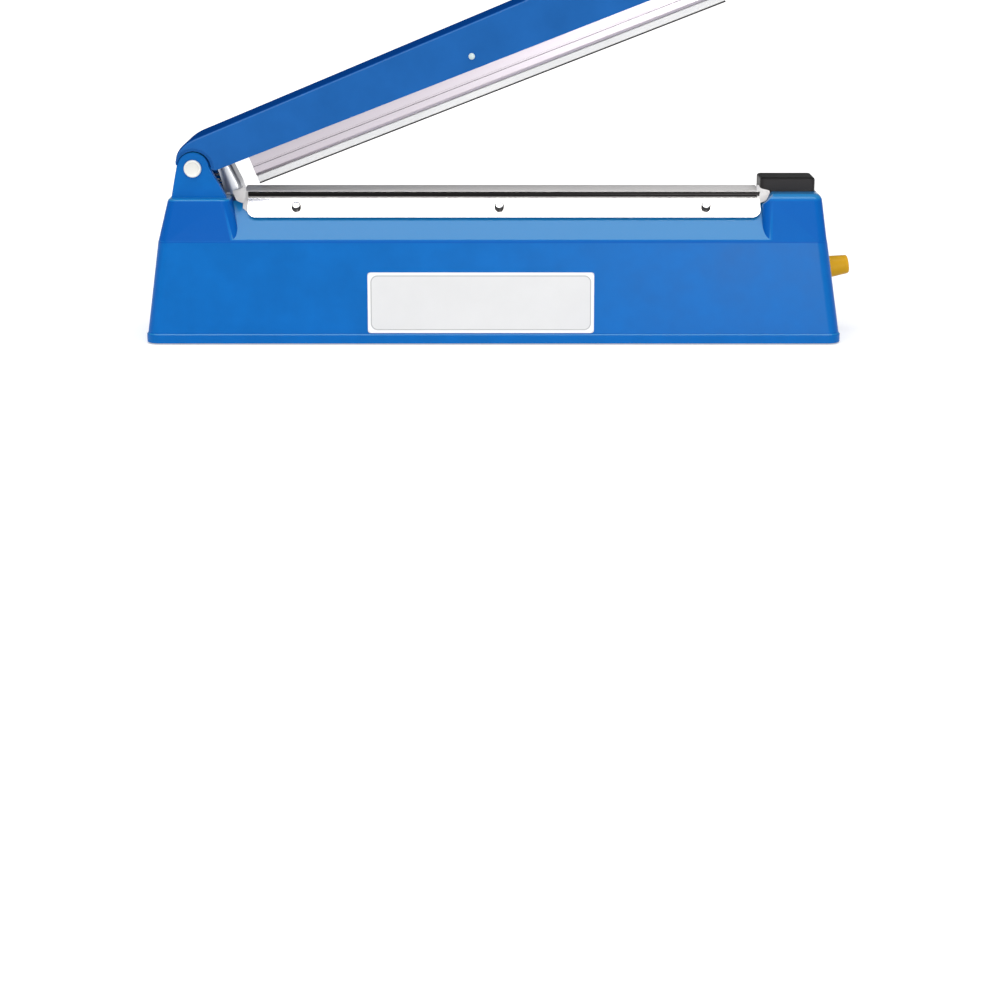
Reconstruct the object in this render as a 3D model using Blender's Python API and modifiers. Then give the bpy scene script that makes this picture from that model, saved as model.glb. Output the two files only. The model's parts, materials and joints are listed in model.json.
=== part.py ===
"""Hand impulse sealer with a 300 mm sealing bed, standing open at rest.

Metres, +Z up. X runs along the sealer from the hinge to the switch, Y runs away from the front.
The origin is under the middle of the whole object, on the surface that the feet stand on.
Places along the base are measured from its left end, and heights from its rim.
Places on the arm are measured from the hinge pin: X along the arm, Z square to it.
"""
import bmesh
import bpy
from math import atan2, ceil, cos, pi, radians, sin, sqrt, tan
from mathutils import Vector

MM = 0.001

# Fits that several pieces share
FIT = 0.3 * MM
RUNNING_FIT = 0.4 * MM
OVERRUN = 3 * MM

# Base housing: outside
BASE_LENGTH = 420 * MM
BASE_DEPTH = 80 * MM
FOOT_PROUD = 0.8 * MM
SKIRT_HEIGHT = 5.8 * MM
SKIRT_PROUD = 0.8 * MM
SHOULDER_HEIGHT = 61.4 * MM
SHOULDER_INSET_DEPTH = 5.5 * MM
SHOULDER_INSET_LEFT = 8.5 * MM
SHOULDER_INSET_RIGHT = 9.3 * MM
PLATEAU_HEIGHT = 82.75 * MM
PLATEAU_DEPTH = 28.8 * MM
CORNER_RADIUS = 8 * MM
WALL = 2.5 * MM

# Base housing: hinge tower on the left, switch tower on the right
TOWER_INSET = 0.3 * MM
TOWER_ROOT = 4 * MM
TOWER_RADIUS = 6 * MM
HINGE_TOWER_HEIGHT = 85.6 * MM
HINGE_TOWER_INSET_DEPTH = 11 * MM
HINGE_TOWER_INSET = 14.7 * MM
HINGE_TOWER_TOP_END = 51.8 * MM
HINGE_TOWER_FOOT_END = 58.2 * MM
SWITCH_TOWER_HEIGHT = 88 * MM
SWITCH_TOWER_INSET_DEPTH = 15 * MM
SWITCH_TOWER_INSET = 12.6 * MM
SWITCH_TOWER_TOP_LENGTH = 47.8 * MM
SWITCH_TOWER_FOOT_LENGTH = 48.8 * MM
SWITCH_TOWER_BEVEL = 6.2 * MM
TOWER_EDGE_RADIUS = 4 * MM

# Hinge: pin, ears and caps
PIN_FROM_LEFT = 29.7 * MM
PIN_HEIGHT = 103 * MM
PIN_RADIUS = 3 * MM
EAR_FACE = 20.8 * MM
EAR_THICKNESS = 4.5 * MM
EAR_RADIUS = 9.8 * MM
EAR_FOOT_LEFT = 13.8 * MM
EAR_FOOT_RIGHT = 20.3 * MM
EAR_WAIST_RIGHT = 12 * MM
CAP_RADIUS = 5.2 * MM
CAP_THICKNESS = 2.3 * MM
CAP_FLOOR = 0.9 * MM

# Sealing bed and what lies on it
BED_START = 58.8 * MM
BED_END_FROM_RIGHT = 49.2 * MM
BED_HALF = 12.7 * MM
BED_TOP = 86.6 * MM
BED_DEPTH = 10.6 * MM
INSULATION_THICKNESS = 0.5 * MM
INSULATION_WIDTH = 16 * MM
ELEMENT_THICKNESS = 0.3 * MM
ELEMENT_WIDTH = 5 * MM
ELEMENT_END_GAP = 2.5 * MM
CLOTH_THICKNESS = 0.3 * MM
CLOTH_HIDDEN = 1.2 * MM
CLOTH_TRIM = 6.5 * MM
TERMINAL_LENGTH = 8 * MM
TERMINAL_RADIUS = 2.2 * MM
WIRE_HOLE_RADIUS = 2 * MM

# Clip plates and their screws
PLATE_START = 61.8 * MM
PLATE_THICKNESS = 0.9 * MM
PLATE_FOOT_REACH = 15.9 * MM
PLATE_CORNER = 6 * MM
CLIP_SCREW_SHARES = (0.095, 0.491, 0.894)
CLIP_SCREW_BELOW_TOP = 5.9 * MM

# Screws: head radius, head height, shank radius, shank length
CLIP_SCREW = (2.9 * MM, 1.9 * MM, 1.4 * MM, 6 * MM)
FOOT_SCREW = (3.2 * MM, 2 * MM, 1.7 * MM, 13 * MM)
SMALL_SCREW = (2.2 * MM, 1.4 * MM, 1.1 * MM, 5 * MM)

# Arm shell
ARM_OPEN = radians(21.1)
ARM_END_FROM_RIGHT = 21.3 * MM
ARM_HALF = 23.4 * MM
ARM_WALL = 2.2 * MM
ARM_BELOW_PIN = 5.8 * MM
ARM_SIDE_START = 13 * MM
ARM_REAR_RISE = 16.6 * MM
ARM_REAR_START = 12 * MM
ARM_REAR_REACH = 21 * MM
ARM_REAR_END = 5.5 * MM
ARM_REAR_FULLNESS = 2.5
ARM_TAPER = radians(1.3)
ARM_NOSE_LENGTH = 30 * MM
ARM_NOSE_RISE = 3 * MM
ARM_EDGE_RADIUS = 2 * MM
NOTCH_RADIUS = 12 * MM
NOTCH_SHIFT_X = 1.2 * MM
NOTCH_SHIFT_Z = -0.4 * MM
LUG_RADIUS = 8 * MM
LUG_SWEEP = (180, 315)
LUG_REACH = 15 * MM
LUG_THICKNESS = 2.5 * MM
SEAT_NEAR = 8 * MM
SEAT_FAR = 17 * MM
SEAT_BELOW = 2 * MM
SEAT_THICKNESS = 2.5 * MM
PRESSER_FROM_END = 17 * MM
PRESSER_THICKNESS = 3 * MM
PRESSER_HALF = 8 * MM

# Handle on the arm's front end
HANDLE_LENGTH = 73.5 * MM
HANDLE_WALL = 2.3 * MM
HANDLE_LIP = 7.5 * MM
HANDLE_LIP_FOOT = 25.6 * MM
HANDLE_LIP_RISE = 3 * MM
HANDLE_CHAMFER = 6 * MM
HANDLE_EDGE_RADIUS = 0.8 * MM
HANDLE_SCREW_SHARES = (0.2, 0.6)
# Height of its lower edge, ridge and crown above the pin line, at shares of its length
HANDLE_SECTION_SHARES = (0, 0.58, 0.88, 1)
HANDLE_FOOTS = (9.6 * MM, 10.7 * MM, 11.3 * MM, 11.5 * MM)
HANDLE_RIDGES = (25.4 * MM, 26.2 * MM, 27.4 * MM, 27.6 * MM)
HANDLE_CROWNS = (28.4 * MM, 31 * MM, 32.6 * MM, 31.8 * MM)
HANDLE_TIP_RIDGE = 29 * MM
HANDLE_TIP_CROWN = 31 * MM

# Press bar: aluminium section, silicone strip and facing tape, measured from the pin line
BAR_REAR = 32 * MM
BAR_SHORTER_THAN_BED = 12 * MM
BAR_HALF = 7 * MM
BAR_WALL = 1.5 * MM
BAR_TOP = -6.2 * MM
BAR_GROOVE_TOP = -11.1 * MM
BAR_GROOVE_WIDTH = 1 * MM
BAR_GROOVE_DEPTH = 0.6 * MM
BAR_FLOOR = -13 * MM
BAR_FLANK_END = -16.8 * MM
BAR_FOOT = -19.8 * MM
BAR_FOOT_HALF = 5.6 * MM
BAR_POCKET_TOP = -17.6 * MM
BAR_POCKET_HALF = 4 * MM
SILICONE_HALF = 5.2 * MM
SILICONE_FOOT = -23.1 * MM
TAPE_HALF = 5.4 * MM
TAPE_THICKNESS = 0.8 * MM

# Bracket in the arm, studs and springs that carry the press bar
BRACKET_MIDDLE_SHARE = 0.4885
BRACKET_LENGTH = 44 * MM
BRACKET_BELOW = 4.2 * MM
BRACKET_SHEET = 1.2 * MM
BRACKET_LEG_FOOT = -3.4 * MM
RIVET_ABOVE_PIN = 1.7 * MM
RIVET_RADIUS = 1.5 * MM
RIVET_HEAD_RADIUS = 1.9 * MM
RIVET_HEAD_HEIGHT = 0.8 * MM
STUD_SPACING = 28 * MM
STUD_RADIUS = 1.6 * MM
STUD_HEAD_RADIUS = 2.9 * MM
STUD_HEAD_HEIGHT = 1.6 * MM
STUD_DEPTH = 2.4 * MM
BAR_SPRING_MEAN = 3.4 * MM
BAR_SPRING_WIRE = 0.9 * MM
BAR_SPRING_TURNS = 6

# Lifting spring and its guard
LIFT_SPRING_FROM_PIN = 11.7 * MM
LIFT_SPRING_MEAN = 4.5 * MM
LIFT_SPRING_WIRE = 1.3 * MM
LIFT_SPRING_TURNS = 7
LIFT_SPRING_HEIGHT = 21.4 * MM
LIFT_PEG_RADIUS = 3 * MM
LIFT_PEG_HEIGHT = 5 * MM
GUARD_FROM_LEFT = 57.8 * MM
GUARD_HALF = 10 * MM
GUARD_SHEET = 1.2 * MM
GUARD_BEND_HEIGHT = 90.8 * MM
GUARD_TOP_HEIGHT = 104.3 * MM
GUARD_LEAN = radians(26)
GUARD_FLANGE = 9 * MM
GUARD_FOOT_DEPTH = 4.4 * MM
GUARD_TAB_LENGTH = 9 * MM
GUARD_SCREW_FROM_LEFT = 49.8 * MM
GUARD_BEND_RADIUS = 2 * MM

# Switch button, its spring and ring, and the microswitch
BUTTON_FROM_RIGHT = 48.6 * MM
BUTTON_LENGTH = 33.1 * MM
BUTTON_HALF = 12 * MM
BUTTON_TOP = 96.3 * MM
BUTTON_BOTTOM = 87.8 * MM
BUTTON_TRAVEL = 1.3 * MM
BUTTON_RADIUS = 2 * MM
BUTTON_WELL_FIT = 0.5 * MM
STEM_FROM_RIGHT = 29 * MM
STEM_RADIUS = 3 * MM
STEM_END = 76.4 * MM
POCKET_RADIUS = 6.4 * MM
POCKET_DEPTH = 4 * MM
BUTTON_SPRING_MEAN = 4.8 * MM
BUTTON_SPRING_WIRE = 0.8 * MM
BUTTON_SPRING_TURNS = 3.5
RING_OUTER = 5 * MM
RING_GROOVE = 0.8 * MM
RING_THICKNESS = 1 * MM
SWITCH_LENGTH = 20 * MM
SWITCH_THICKNESS = 6.4 * MM
SWITCH_HEIGHT = 10.5 * MM
SWITCH_TOP = 73.6 * MM
SWITCH_PEG_SPACING = 9.5 * MM
SWITCH_PEG_ABOVE = 3 * MM
SWITCH_PEG_RADIUS = 1.1 * MM
PLUNGER_RADIUS = 1.5 * MM
PLUNGER_DEPTH = 3 * MM
SWITCH_RIB = 2.5 * MM

# Timer on the right-hand wall
TIMER_HEIGHT = 39.6 * MM
KNOB_RADIUS = 6.9 * MM
KNOB_TIP_RADIUS = 5.7 * MM
KNOB_LENGTH = 14.2 * MM
KNOB_EDGE = 0.8 * MM
KNOB_RECESS_RADIUS = 5.7 * MM
KNOB_RECESS_DEPTH = 4.2 * MM
KNOB_BORE_DEPTH = 9 * MM
SHAFT_RADIUS = 3 * MM
SHAFT_INSIDE = 4 * MM
TIMER_THREAD_RADIUS = 3.9 * MM
TIMER_BODY_RADIUS = 8 * MM
TIMER_BODY_LENGTH = 9 * MM
TIMER_THREAD_PROUD = 3.4 * MM
NUT_RADIUS = 5.3 * MM
NUT_THICKNESS = 2.2 * MM

# Bottom plate, feet and posts
PLATE_RECESS = 3 * MM
BOTTOM_THICKNESS = 2 * MM
POST_INSET_X = 24 * MM
POST_INSET_Y = 13 * MM
POST_RADIUS = 4 * MM
POST_TOP = 68.5 * MM
FOOT_RADIUS = 8 * MM
FOOT_HOLE_RADIUS = 2.2 * MM
FOOT_SINK_RADIUS = 4 * MM
FOOT_EDGE = 0.8 * MM
FOOT_SINK_DEPTH = 2.2 * MM

# Transformer and control board
TRANSFORMER_SHARE = 0.36
CORE_LENGTH = 60 * MM
CORE_DEPTH = 30 * MM
CORE_HEIGHT = 50 * MM
CORE_LEG = 10 * MM
COIL_GAP = 0.5 * MM
STRAP_SHEET = 1.5 * MM
STRAP_WIDTH = 14 * MM
STRAP_FOOT = 12 * MM
BOARD_SHARE = 0.655
BOARD_LENGTH = 76 * MM
BOARD_WIDTH = 46 * MM
BOARD_THICKNESS = 1.6 * MM
BOARD_HEIGHT = 15 * MM
STANDOFF_RADIUS = 3 * MM
STANDOFF_INSET = 5 * MM
RELAY_SIZE = (22 * MM, 16 * MM, 17 * MM)
CAPACITOR_RADIUS = 5 * MM
CAPACITOR_HEIGHT = 15 * MM
HEAT_SINK_SIZE = (4 * MM, 26 * MM, 22 * MM)
PART_SINK = 0.4 * MM

# Cord gland in the back wall
GLAND_FROM_LEFT = 60 * MM
GLAND_HEIGHT = 26 * MM
GLAND_RADIUS = 4.6 * MM
GLAND_FLANGE_RADIUS = 7 * MM
GLAND_FLANGE = 1.6 * MM
GLAND_BORE = 2.8 * MM
GLAND_INSIDE = 5 * MM

# Front label, left bare
LABEL_MIDDLE_SHARE = 0.482
LABEL_LENGTH = 136.2 * MM
LABEL_BOTTOM = 6.3 * MM
LABEL_WIDTH = 36.5 * MM
LABEL_THICKNESS = 0.35 * MM
LABEL_CORNER = 1 * MM

# Sizes that follow from the ones above
BED_LENGTH = BASE_LENGTH - BED_START - BED_END_FROM_RIGHT
ARM_LENGTH = BASE_LENGTH - PIN_FROM_LEFT - ARM_END_FROM_RIGHT
BAR_LENGTH = BED_LENGTH - BAR_SHORTER_THAN_BED
BRACKET_MIDDLE = BRACKET_MIDDLE_SHARE * ARM_LENGTH
SHOULDER_DEPTH = BASE_DEPTH - 2 * SHOULDER_INSET_DEPTH
HINGE_TOWER_DEPTH = BASE_DEPTH - 2 * HINGE_TOWER_INSET_DEPTH
SWITCH_TOWER_DEPTH = BASE_DEPTH - 2 * SWITCH_TOWER_INSET_DEPTH
SWITCH_TOWER_TOP_START = BASE_LENGTH - SWITCH_TOWER_TOP_LENGTH
SWITCH_TOWER_FOOT_START = BASE_LENGTH - SWITCH_TOWER_FOOT_LENGTH
SLOPE_ANGLE = atan2(PLATEAU_HEIGHT - SHOULDER_HEIGHT, (SHOULDER_DEPTH - PLATEAU_DEPTH) / 2)
BUTTON_START = BASE_LENGTH - BUTTON_FROM_RIGHT
WELL_FLOOR = BUTTON_BOTTOM - BUTTON_TRAVEL - FIT
STEM_FROM_LEFT = BASE_LENGTH - STEM_FROM_RIGHT
CLIP_SCREW_REACH = (PLATEAU_HEIGHT - SHOULDER_HEIGHT) / sin(SLOPE_ANGLE) - CLIP_SCREW_BELOW_TOP
POST_HALF = BASE_DEPTH / 2 - POST_INSET_Y
TRANSFORMER_FROM_LEFT = TRANSFORMER_SHARE * BASE_LENGTH
BOARD_FROM_LEFT = BOARD_SHARE * BASE_LENGTH

# Facets of round pieces
ROUND_STEPS = 24
SMALL_STEPS = 12
CORNER_STEPS = 4
SPRING_POINTS = 9


def knob_reach():
    """How far the knob stands out past the base's left-to-right length."""
    lean = wall_lean_right()
    wall_inset = SKIRT_PROUD + (TIMER_HEIGHT - SKIRT_HEIGHT) * tan(lean)
    tip = (RUNNING_FIT + KNOB_LENGTH) * cos(lean) + (KNOB_TIP_RADIUS - KNOB_EDGE) * sin(lean)
    return tip - wall_inset


def wall_lean_right():
    return atan2(SHOULDER_INSET_RIGHT - SKIRT_PROUD, SHOULDER_HEIGHT - SKIRT_HEIGHT)


def front_lean():
    return atan2((BASE_DEPTH - SHOULDER_DEPTH) / 2 - SKIRT_PROUD, SHOULDER_HEIGHT - SKIRT_HEIGHT)


BASE_LEFT = -(BASE_LENGTH + knob_reach()) / 2
RIM_Z = FOOT_PROUD


def along(distance):
    """X of a place that lies this far from the base's left end."""
    return BASE_LEFT + distance


def up(height):
    """Z of a place that lies this far above the base's rim."""
    return RIM_Z + height


def slope_point(reach, lift):
    """Half depth and Z of a point that lies this far up the shoulder slope and this far off it."""
    half = SHOULDER_DEPTH / 2 + sin(SLOPE_ANGLE) * lift - cos(SLOPE_ANGLE) * reach
    return half, up(SHOULDER_HEIGHT) + cos(SLOPE_ANGLE) * lift + sin(SLOPE_ANGLE) * reach


def slope_reach(half, lift):
    """How far up the slope, this far off it, the surface comes to a half depth."""
    return (SHOULDER_DEPTH / 2 + sin(SLOPE_ANGLE) * lift - half) / cos(SLOPE_ANGLE)


def arm_top(x):
    """Height of the arm's top above the pin line."""
    return ARM_REAR_RISE + (x - ARM_REAR_START) * tan(ARM_TAPER)


def clear_scene():
    for old in list(bpy.data.objects):
        bpy.data.objects.remove(old, do_unlink=True)


clear_scene()
PARTS = bpy.data.collections.new("hand_impulse_sealer")
TOOLS = bpy.data.collections.new("cutters")
bpy.context.scene.collection.children.link(PARTS)
bpy.context.scene.collection.children.link(TOOLS)


def finish(name, colour, roughness, metallic=0.0):
    """A Principled material."""
    made = bpy.data.materials.new(name)
    made.use_nodes = True
    shader = made.node_tree.nodes["Principled BSDF"]
    shader.inputs["Base Color"].default_value = (*colour, 1)
    shader.inputs["Roughness"].default_value = roughness
    shader.inputs["Metallic"].default_value = metallic
    return made


BLUE = finish("blue_plastic", (0.01, 0.16, 0.55), 0.35)
ARM_BLUE = finish("arm_blue_plastic", (0.02, 0.13, 0.42), 0.35)
BLACK = finish("black_plastic", (0.02, 0.018, 0.018), 0.5)
CREAM = finish("cream_cap", (0.7, 0.68, 0.62), 0.4)
YELLOW = finish("yellow_plastic", (0.6, 0.33, 0.03), 0.4)
ALUMINIUM = finish("aluminium", (0.6, 0.59, 0.62), 0.35, 1)
POLISHED = finish("polished_metal", (0.8, 0.78, 0.76), 0.12, 1)
STEEL = finish("steel", (0.5, 0.5, 0.5), 0.3, 1)
BRASS = finish("brass", (0.6, 0.42, 0.16), 0.3, 1)
COPPER = finish("copper_winding", (0.5, 0.16, 0.05), 0.35, 1)
SILICONE = finish("white_silicone", (0.85, 0.85, 0.83), 0.5)
TAPE = finish("dark_tape", (0.03, 0.025, 0.025), 0.6)
CLOTH = finish("grey_cover_cloth", (0.5, 0.49, 0.47), 0.5)
LABEL = finish("label", (0.78, 0.78, 0.78), 0.4)
RUBBER = finish("rubber", (0.03, 0.03, 0.03), 0.8)
BOARD_GREEN = finish("board", (0.02, 0.12, 0.04), 0.5)


def pivot(name, location, rotation=(0, 0, 0), parent=None):
    """An empty that carries what turns or slides about a place."""
    made = bpy.data.objects.new(name, None)
    made.location = location
    made.rotation_euler = rotation
    made.parent = parent
    made.empty_display_size = PIN_RADIUS
    PARTS.objects.link(made)
    return made


def place(mesh, name, material, parent=None, tool=False):
    """Put a mesh or curve into the scene as a part, or as a tool that cuts or joins parts."""
    made = bpy.data.objects.new(name, mesh)
    made.parent = parent
    (TOOLS if tool else PARTS).objects.link(made)
    if tool:
        made.hide_render = True
        made.display_type = 'WIRE'
    else:
        mesh.materials.append(material)
    return made


def bake_mesh(bm, name, smooth=True):
    bmesh.ops.recalc_face_normals(bm, faces=bm.faces)
    mesh = bpy.data.meshes.new(name)
    bm.to_mesh(mesh)
    bm.free()
    if smooth:
        mesh.shade_smooth()
        mesh.set_sharp_from_angle(angle=radians(35))
    return mesh


def box(name, low, high, material=None, parent=None, tool=False):
    """A block between two corners."""
    bm = bmesh.new()
    bmesh.ops.create_cube(bm, size=1)
    low = Vector(low)
    high = Vector(high)
    for vert in bm.verts:
        share = vert.co + Vector((0.5, 0.5, 0.5))
        vert.co = low + Vector(part * size for part, size in zip(share, high - low))
    return place(bake_mesh(bm, name, smooth=False), name, material, parent, tool)


def rod(name, start, end, radius, material=None, parent=None, tool=False, tip=None, steps=ROUND_STEPS):
    """A round bar or cone from one point to another."""
    start = Vector(start)
    end = Vector(end)
    bm = bmesh.new()
    bmesh.ops.create_cone(bm, cap_ends=True, segments=steps, radius1=radius,
                          radius2=radius if tip is None else tip, depth=(end - start).length)
    turn = Vector((0, 0, 1)).rotation_difference(end - start).to_matrix().to_4x4()
    bmesh.ops.transform(bm, matrix=turn, verts=bm.verts)
    bmesh.ops.translate(bm, vec=(start + end) / 2, verts=bm.verts)
    return place(bake_mesh(bm, name), name, material, parent, tool)


def turned(name, profile, location, direction, material=None, parent=None, tool=False, steps=ROUND_STEPS):
    """A turned piece: (radius, height) points from the top down, along the direction."""
    mesh = bpy.data.meshes.new(name)
    points = [(radius, 0, height) for radius, height in profile]
    mesh.from_pydata(points, [(i, i + 1) for i in range(len(points) - 1)], [])
    made = place(mesh, name, material, parent, tool)
    made.location = location
    made.rotation_mode = 'QUATERNION'
    made.rotation_quaternion = Vector((0, 0, 1)).rotation_difference(Vector(direction))
    spin = made.modifiers.new("turn", 'SCREW')
    spin.steps = steps
    spin.render_steps = steps
    spin.use_merge_vertices = True
    spin.merge_threshold = MM / 1000
    spin.use_smooth_shade = True
    return made


def ring_profile(inner, outer, low, high):
    """Closed profile of a plain ring or tube."""
    return [(inner, high), (outer, high), (outer, low), (inner, low), (inner, high)]


def outline(name, points, axis, start, end, material=None, parent=None, tool=False):
    """A flat outline pulled from start to end: along Y it holds (X, Z), and along X it holds (Y, Z)."""
    curve = bpy.data.curves.new(name, 'CURVE')
    curve.dimensions = '2D'
    curve.fill_mode = 'BOTH'
    curve.extrude = (end - start) / 2
    spline = curve.splines.new('POLY')
    spline.points.add(len(points) - 1)
    for point, (u, v) in zip(spline.points, points):
        point.co = (u, v, 0, 1)
    spline.use_cyclic_u = True
    drawn = bpy.data.objects.new(name + "_outline", curve)
    TOOLS.objects.link(drawn)
    middle = (start + end) / 2
    if axis == 'Y':
        drawn.rotation_euler = (pi / 2, 0, 0)
        drawn.location = (0, middle, 0)
    else:
        drawn.rotation_euler = (pi / 2, 0, pi / 2)
        drawn.location = (middle, 0, 0)
    bpy.context.view_layer.update()
    seen = drawn.evaluated_get(bpy.context.evaluated_depsgraph_get())
    flat = bpy.data.meshes.new_from_object(seen)
    bm = bmesh.new()
    bm.from_mesh(flat)
    bmesh.ops.remove_doubles(bm, verts=bm.verts, dist=MM / 1000)
    bmesh.ops.transform(bm, matrix=drawn.matrix_world, verts=bm.verts)
    bmesh.ops.dissolve_limit(bm, angle_limit=radians(0.5), verts=bm.verts, edges=bm.edges)
    bpy.data.objects.remove(drawn)
    return place(bake_mesh(bm, name), name, material, parent, tool)


def loft(name, rings, material=None, parent=None, tool=False):
    """A solid skinned over rings that all have as many points."""
    bm = bmesh.new()
    rows = [[bm.verts.new(point) for point in ring] for ring in rings]
    count = len(rows[0])
    for lower, upper in zip(rows, rows[1:]):
        for i in range(count):
            j = (i + 1) % count
            bm.faces.new((lower[i], lower[j], upper[j], upper[i]))
    bm.faces.new(rows[0])
    bm.faces.new(rows[-1])
    return place(bake_mesh(bm, name), name, material, parent, tool)


def rounded_ring(z, left, right, half, radius):
    """A level rounded rectangle."""
    points = []
    corners = ((right, half, 0), (left, half, 1), (left, -half, 2), (right, -half, 3))
    for x, y, quarter in corners:
        centre_x = x + (radius if x == left else -radius)
        centre_y = y + (radius if y < 0 else -radius)
        for step in range(CORNER_STEPS + 1):
            angle = (quarter + step / CORNER_STEPS) * pi / 2
            points.append((centre_x + radius * cos(angle), centre_y + radius * sin(angle), z))
    return points


def arc(centre, radius, start, end, steps):
    """Points on an arc, in degrees, from start to end."""
    sweep = [radians(start + (end - start) * i / steps) for i in range(steps + 1)]
    return [(centre[0] + radius * cos(a), centre[1] + radius * sin(a)) for a in sweep]


def cut(target, tool):
    """Take the tool away from the target."""
    change = target.modifiers.new("cut_" + tool.name, 'BOOLEAN')
    change.operation = 'DIFFERENCE'
    change.solver = 'EXACT'
    change.object = tool


def join(target, tool):
    """Make the tool part of the target."""
    change = target.modifiers.new("join_" + tool.name, 'BOOLEAN')
    change.operation = 'UNION'
    change.solver = 'EXACT'
    change.object = tool


def round_edges(target, chosen, width, segments):
    """Round the edges for which chosen(first end, second end) is true."""
    bm = bmesh.new()
    bm.from_mesh(target.data)
    weights = bm.edges.layers.float.new("bevel_weight_edge")
    for edge in bm.edges:
        if chosen(edge.verts[0].co, edge.verts[1].co):
            edge[weights] = 1
    bm.to_mesh(target.data)
    bm.free()
    bevel = target.modifiers.new("round", 'BEVEL')
    bevel.limit_method = 'WEIGHT'
    bevel.width = width
    bevel.segments = segments
    bevel.use_clamp_overlap = False


def soften(target, width, segments=1, angle=40):
    """Round every edge that is sharper than the angle."""
    bevel = target.modifiers.new("soften", 'BEVEL')
    bevel.limit_method = 'ANGLE'
    bevel.angle_limit = radians(angle)
    bevel.width = width
    bevel.segments = segments
    bevel.miter_outer = 'MITER_SHARP'


def screw(name, size, seat, direction, material=STEEL, parent=None):
    """A domed screw whose head sits on the seat and whose head faces the direction."""
    head_radius, head_height, shank_radius, shank_length = size
    dome = [(head_radius * sin(radians(a)), FIT + head_height * (1 + cos(radians(a))) / 2)
            for a in (35, 65, 90)]
    dome[-1] = (head_radius, FIT + head_height * 2 / 5)
    profile = [(0, FIT + head_height), *dome, (head_radius, FIT), (shank_radius, FIT),
               (shank_radius, -shank_length), (0, -shank_length)]
    return turned(name, profile, seat, direction, material, parent, steps=SMALL_STEPS)


def drill(target, name, seat, direction, radius, depth, parent=None):
    """A round hole that starts a little above the seat."""
    axis = Vector(direction).normalized()
    start = Vector(seat) + axis * OVERRUN
    end = Vector(seat) - axis * depth
    tool = rod(name, start, end, radius, parent=parent, tool=True, steps=SMALL_STEPS)
    cut(target, tool)
    return tool


def coil(name, foot, height, mean, wire, turns, parent=None):
    """A compression spring that stands on its foot: one unbroken tube along a helix."""
    count = ceil(turns * SPRING_POINTS)
    rise = height - wire
    points = []
    for i in range(count + 1):
        angle = 2 * pi * turns * i / count
        points.append((mean * cos(angle), mean * sin(angle), wire / 2 + rise * i / count))
    curve = bpy.data.curves.new(name, 'CURVE')
    curve.dimensions = '3D'
    curve.bevel_depth = wire / 2
    curve.bevel_resolution = 1
    curve.use_fill_caps = True
    spline = curve.splines.new('POLY')
    spline.points.add(count)
    for point, (x, y, z) in zip(spline.points, points):
        point.co = (x, y, z, 1)
    made = place(curve, name, STEEL, parent)
    made.location = foot
    half_turn = SPRING_POINTS // 2
    gap = min((Vector(points[i]) - Vector(points[j])).length
              for i in range(count + 1) for j in range(i + half_turn, count + 1)) - wire
    print(f"{name}: least gap between its turns {gap / MM:.2f} mm")
    return made


def build_base():
    """The moulded housing: skirt, walls, shoulders, towers and ears, hollow and open below."""
    left, right = along(0), along(BASE_LENGTH)
    half = BASE_DEPTH / 2
    inner_half = half - SKIRT_PROUD
    shoulder_left = along(SHOULDER_INSET_LEFT)
    shoulder_right = along(BASE_LENGTH - SHOULDER_INSET_RIGHT)
    plateau_half = PLATEAU_DEPTH / 2
    rings = [
        rounded_ring(up(0), left, right, half, CORNER_RADIUS),
        rounded_ring(up(SKIRT_HEIGHT - SKIRT_PROUD), left, right, half, CORNER_RADIUS),
        rounded_ring(up(SKIRT_HEIGHT), left + SKIRT_PROUD, right - SKIRT_PROUD, inner_half,
                     CORNER_RADIUS - SKIRT_PROUD),
        rounded_ring(up(SHOULDER_HEIGHT), shoulder_left, shoulder_right, SHOULDER_DEPTH / 2,
                     CORNER_RADIUS - SKIRT_PROUD),
        rounded_ring(up(PLATEAU_HEIGHT), along(HINGE_TOWER_TOP_END / 2),
                     along((SWITCH_TOWER_TOP_START + BASE_LENGTH) / 2), plateau_half,
                     CORNER_RADIUS / 2),
    ]
    shell = loft("base_shell", rings, BLUE)
    join(shell, hinge_tower("hinge_tower"))
    join(shell, switch_tower("switch_tower"))
    for tool in hollow_tools():
        cut(shell, tool)
    for side in (-1, 1):
        join(shell, ear(side))
    peg_x = along(PIN_FROM_LEFT + LIFT_SPRING_FROM_PIN)
    join(shell, rod("spring_peg", (peg_x, 0, up(HINGE_TOWER_HEIGHT) - WALL / 2),
                    (peg_x, 0, up(HINGE_TOWER_HEIGHT + LIFT_PEG_HEIGHT)), LIFT_PEG_RADIUS,
                    tool=True, steps=SMALL_STEPS))
    for name, x, y in post_places():
        join(shell, rod(name, (x, y, plate_top() + FIT), (x, y, up(POST_TOP)), POST_RADIUS, tool=True,
                        steps=SMALL_STEPS))
        drill(shell, name + "_hole", (x, y, plate_top() + FIT), (0, 0, -1), FOOT_SCREW[2] + FIT,
              FOOT_SCREW[3])
    join(shell, switch_rib())
    return shell


def plate_top():
    return up(PLATE_RECESS + BOTTOM_THICKNESS)


def post_places():
    """Name, X and Y of each corner post, its foot and its screw."""
    places = []
    for end, x in (("left", along(POST_INSET_X)), ("right", along(BASE_LENGTH - POST_INSET_X))):
        for side, y in (("front", -POST_HALF), ("back", POST_HALF)):
            places.append((f"post_{side}_{end}", x, y))
    return places


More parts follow.
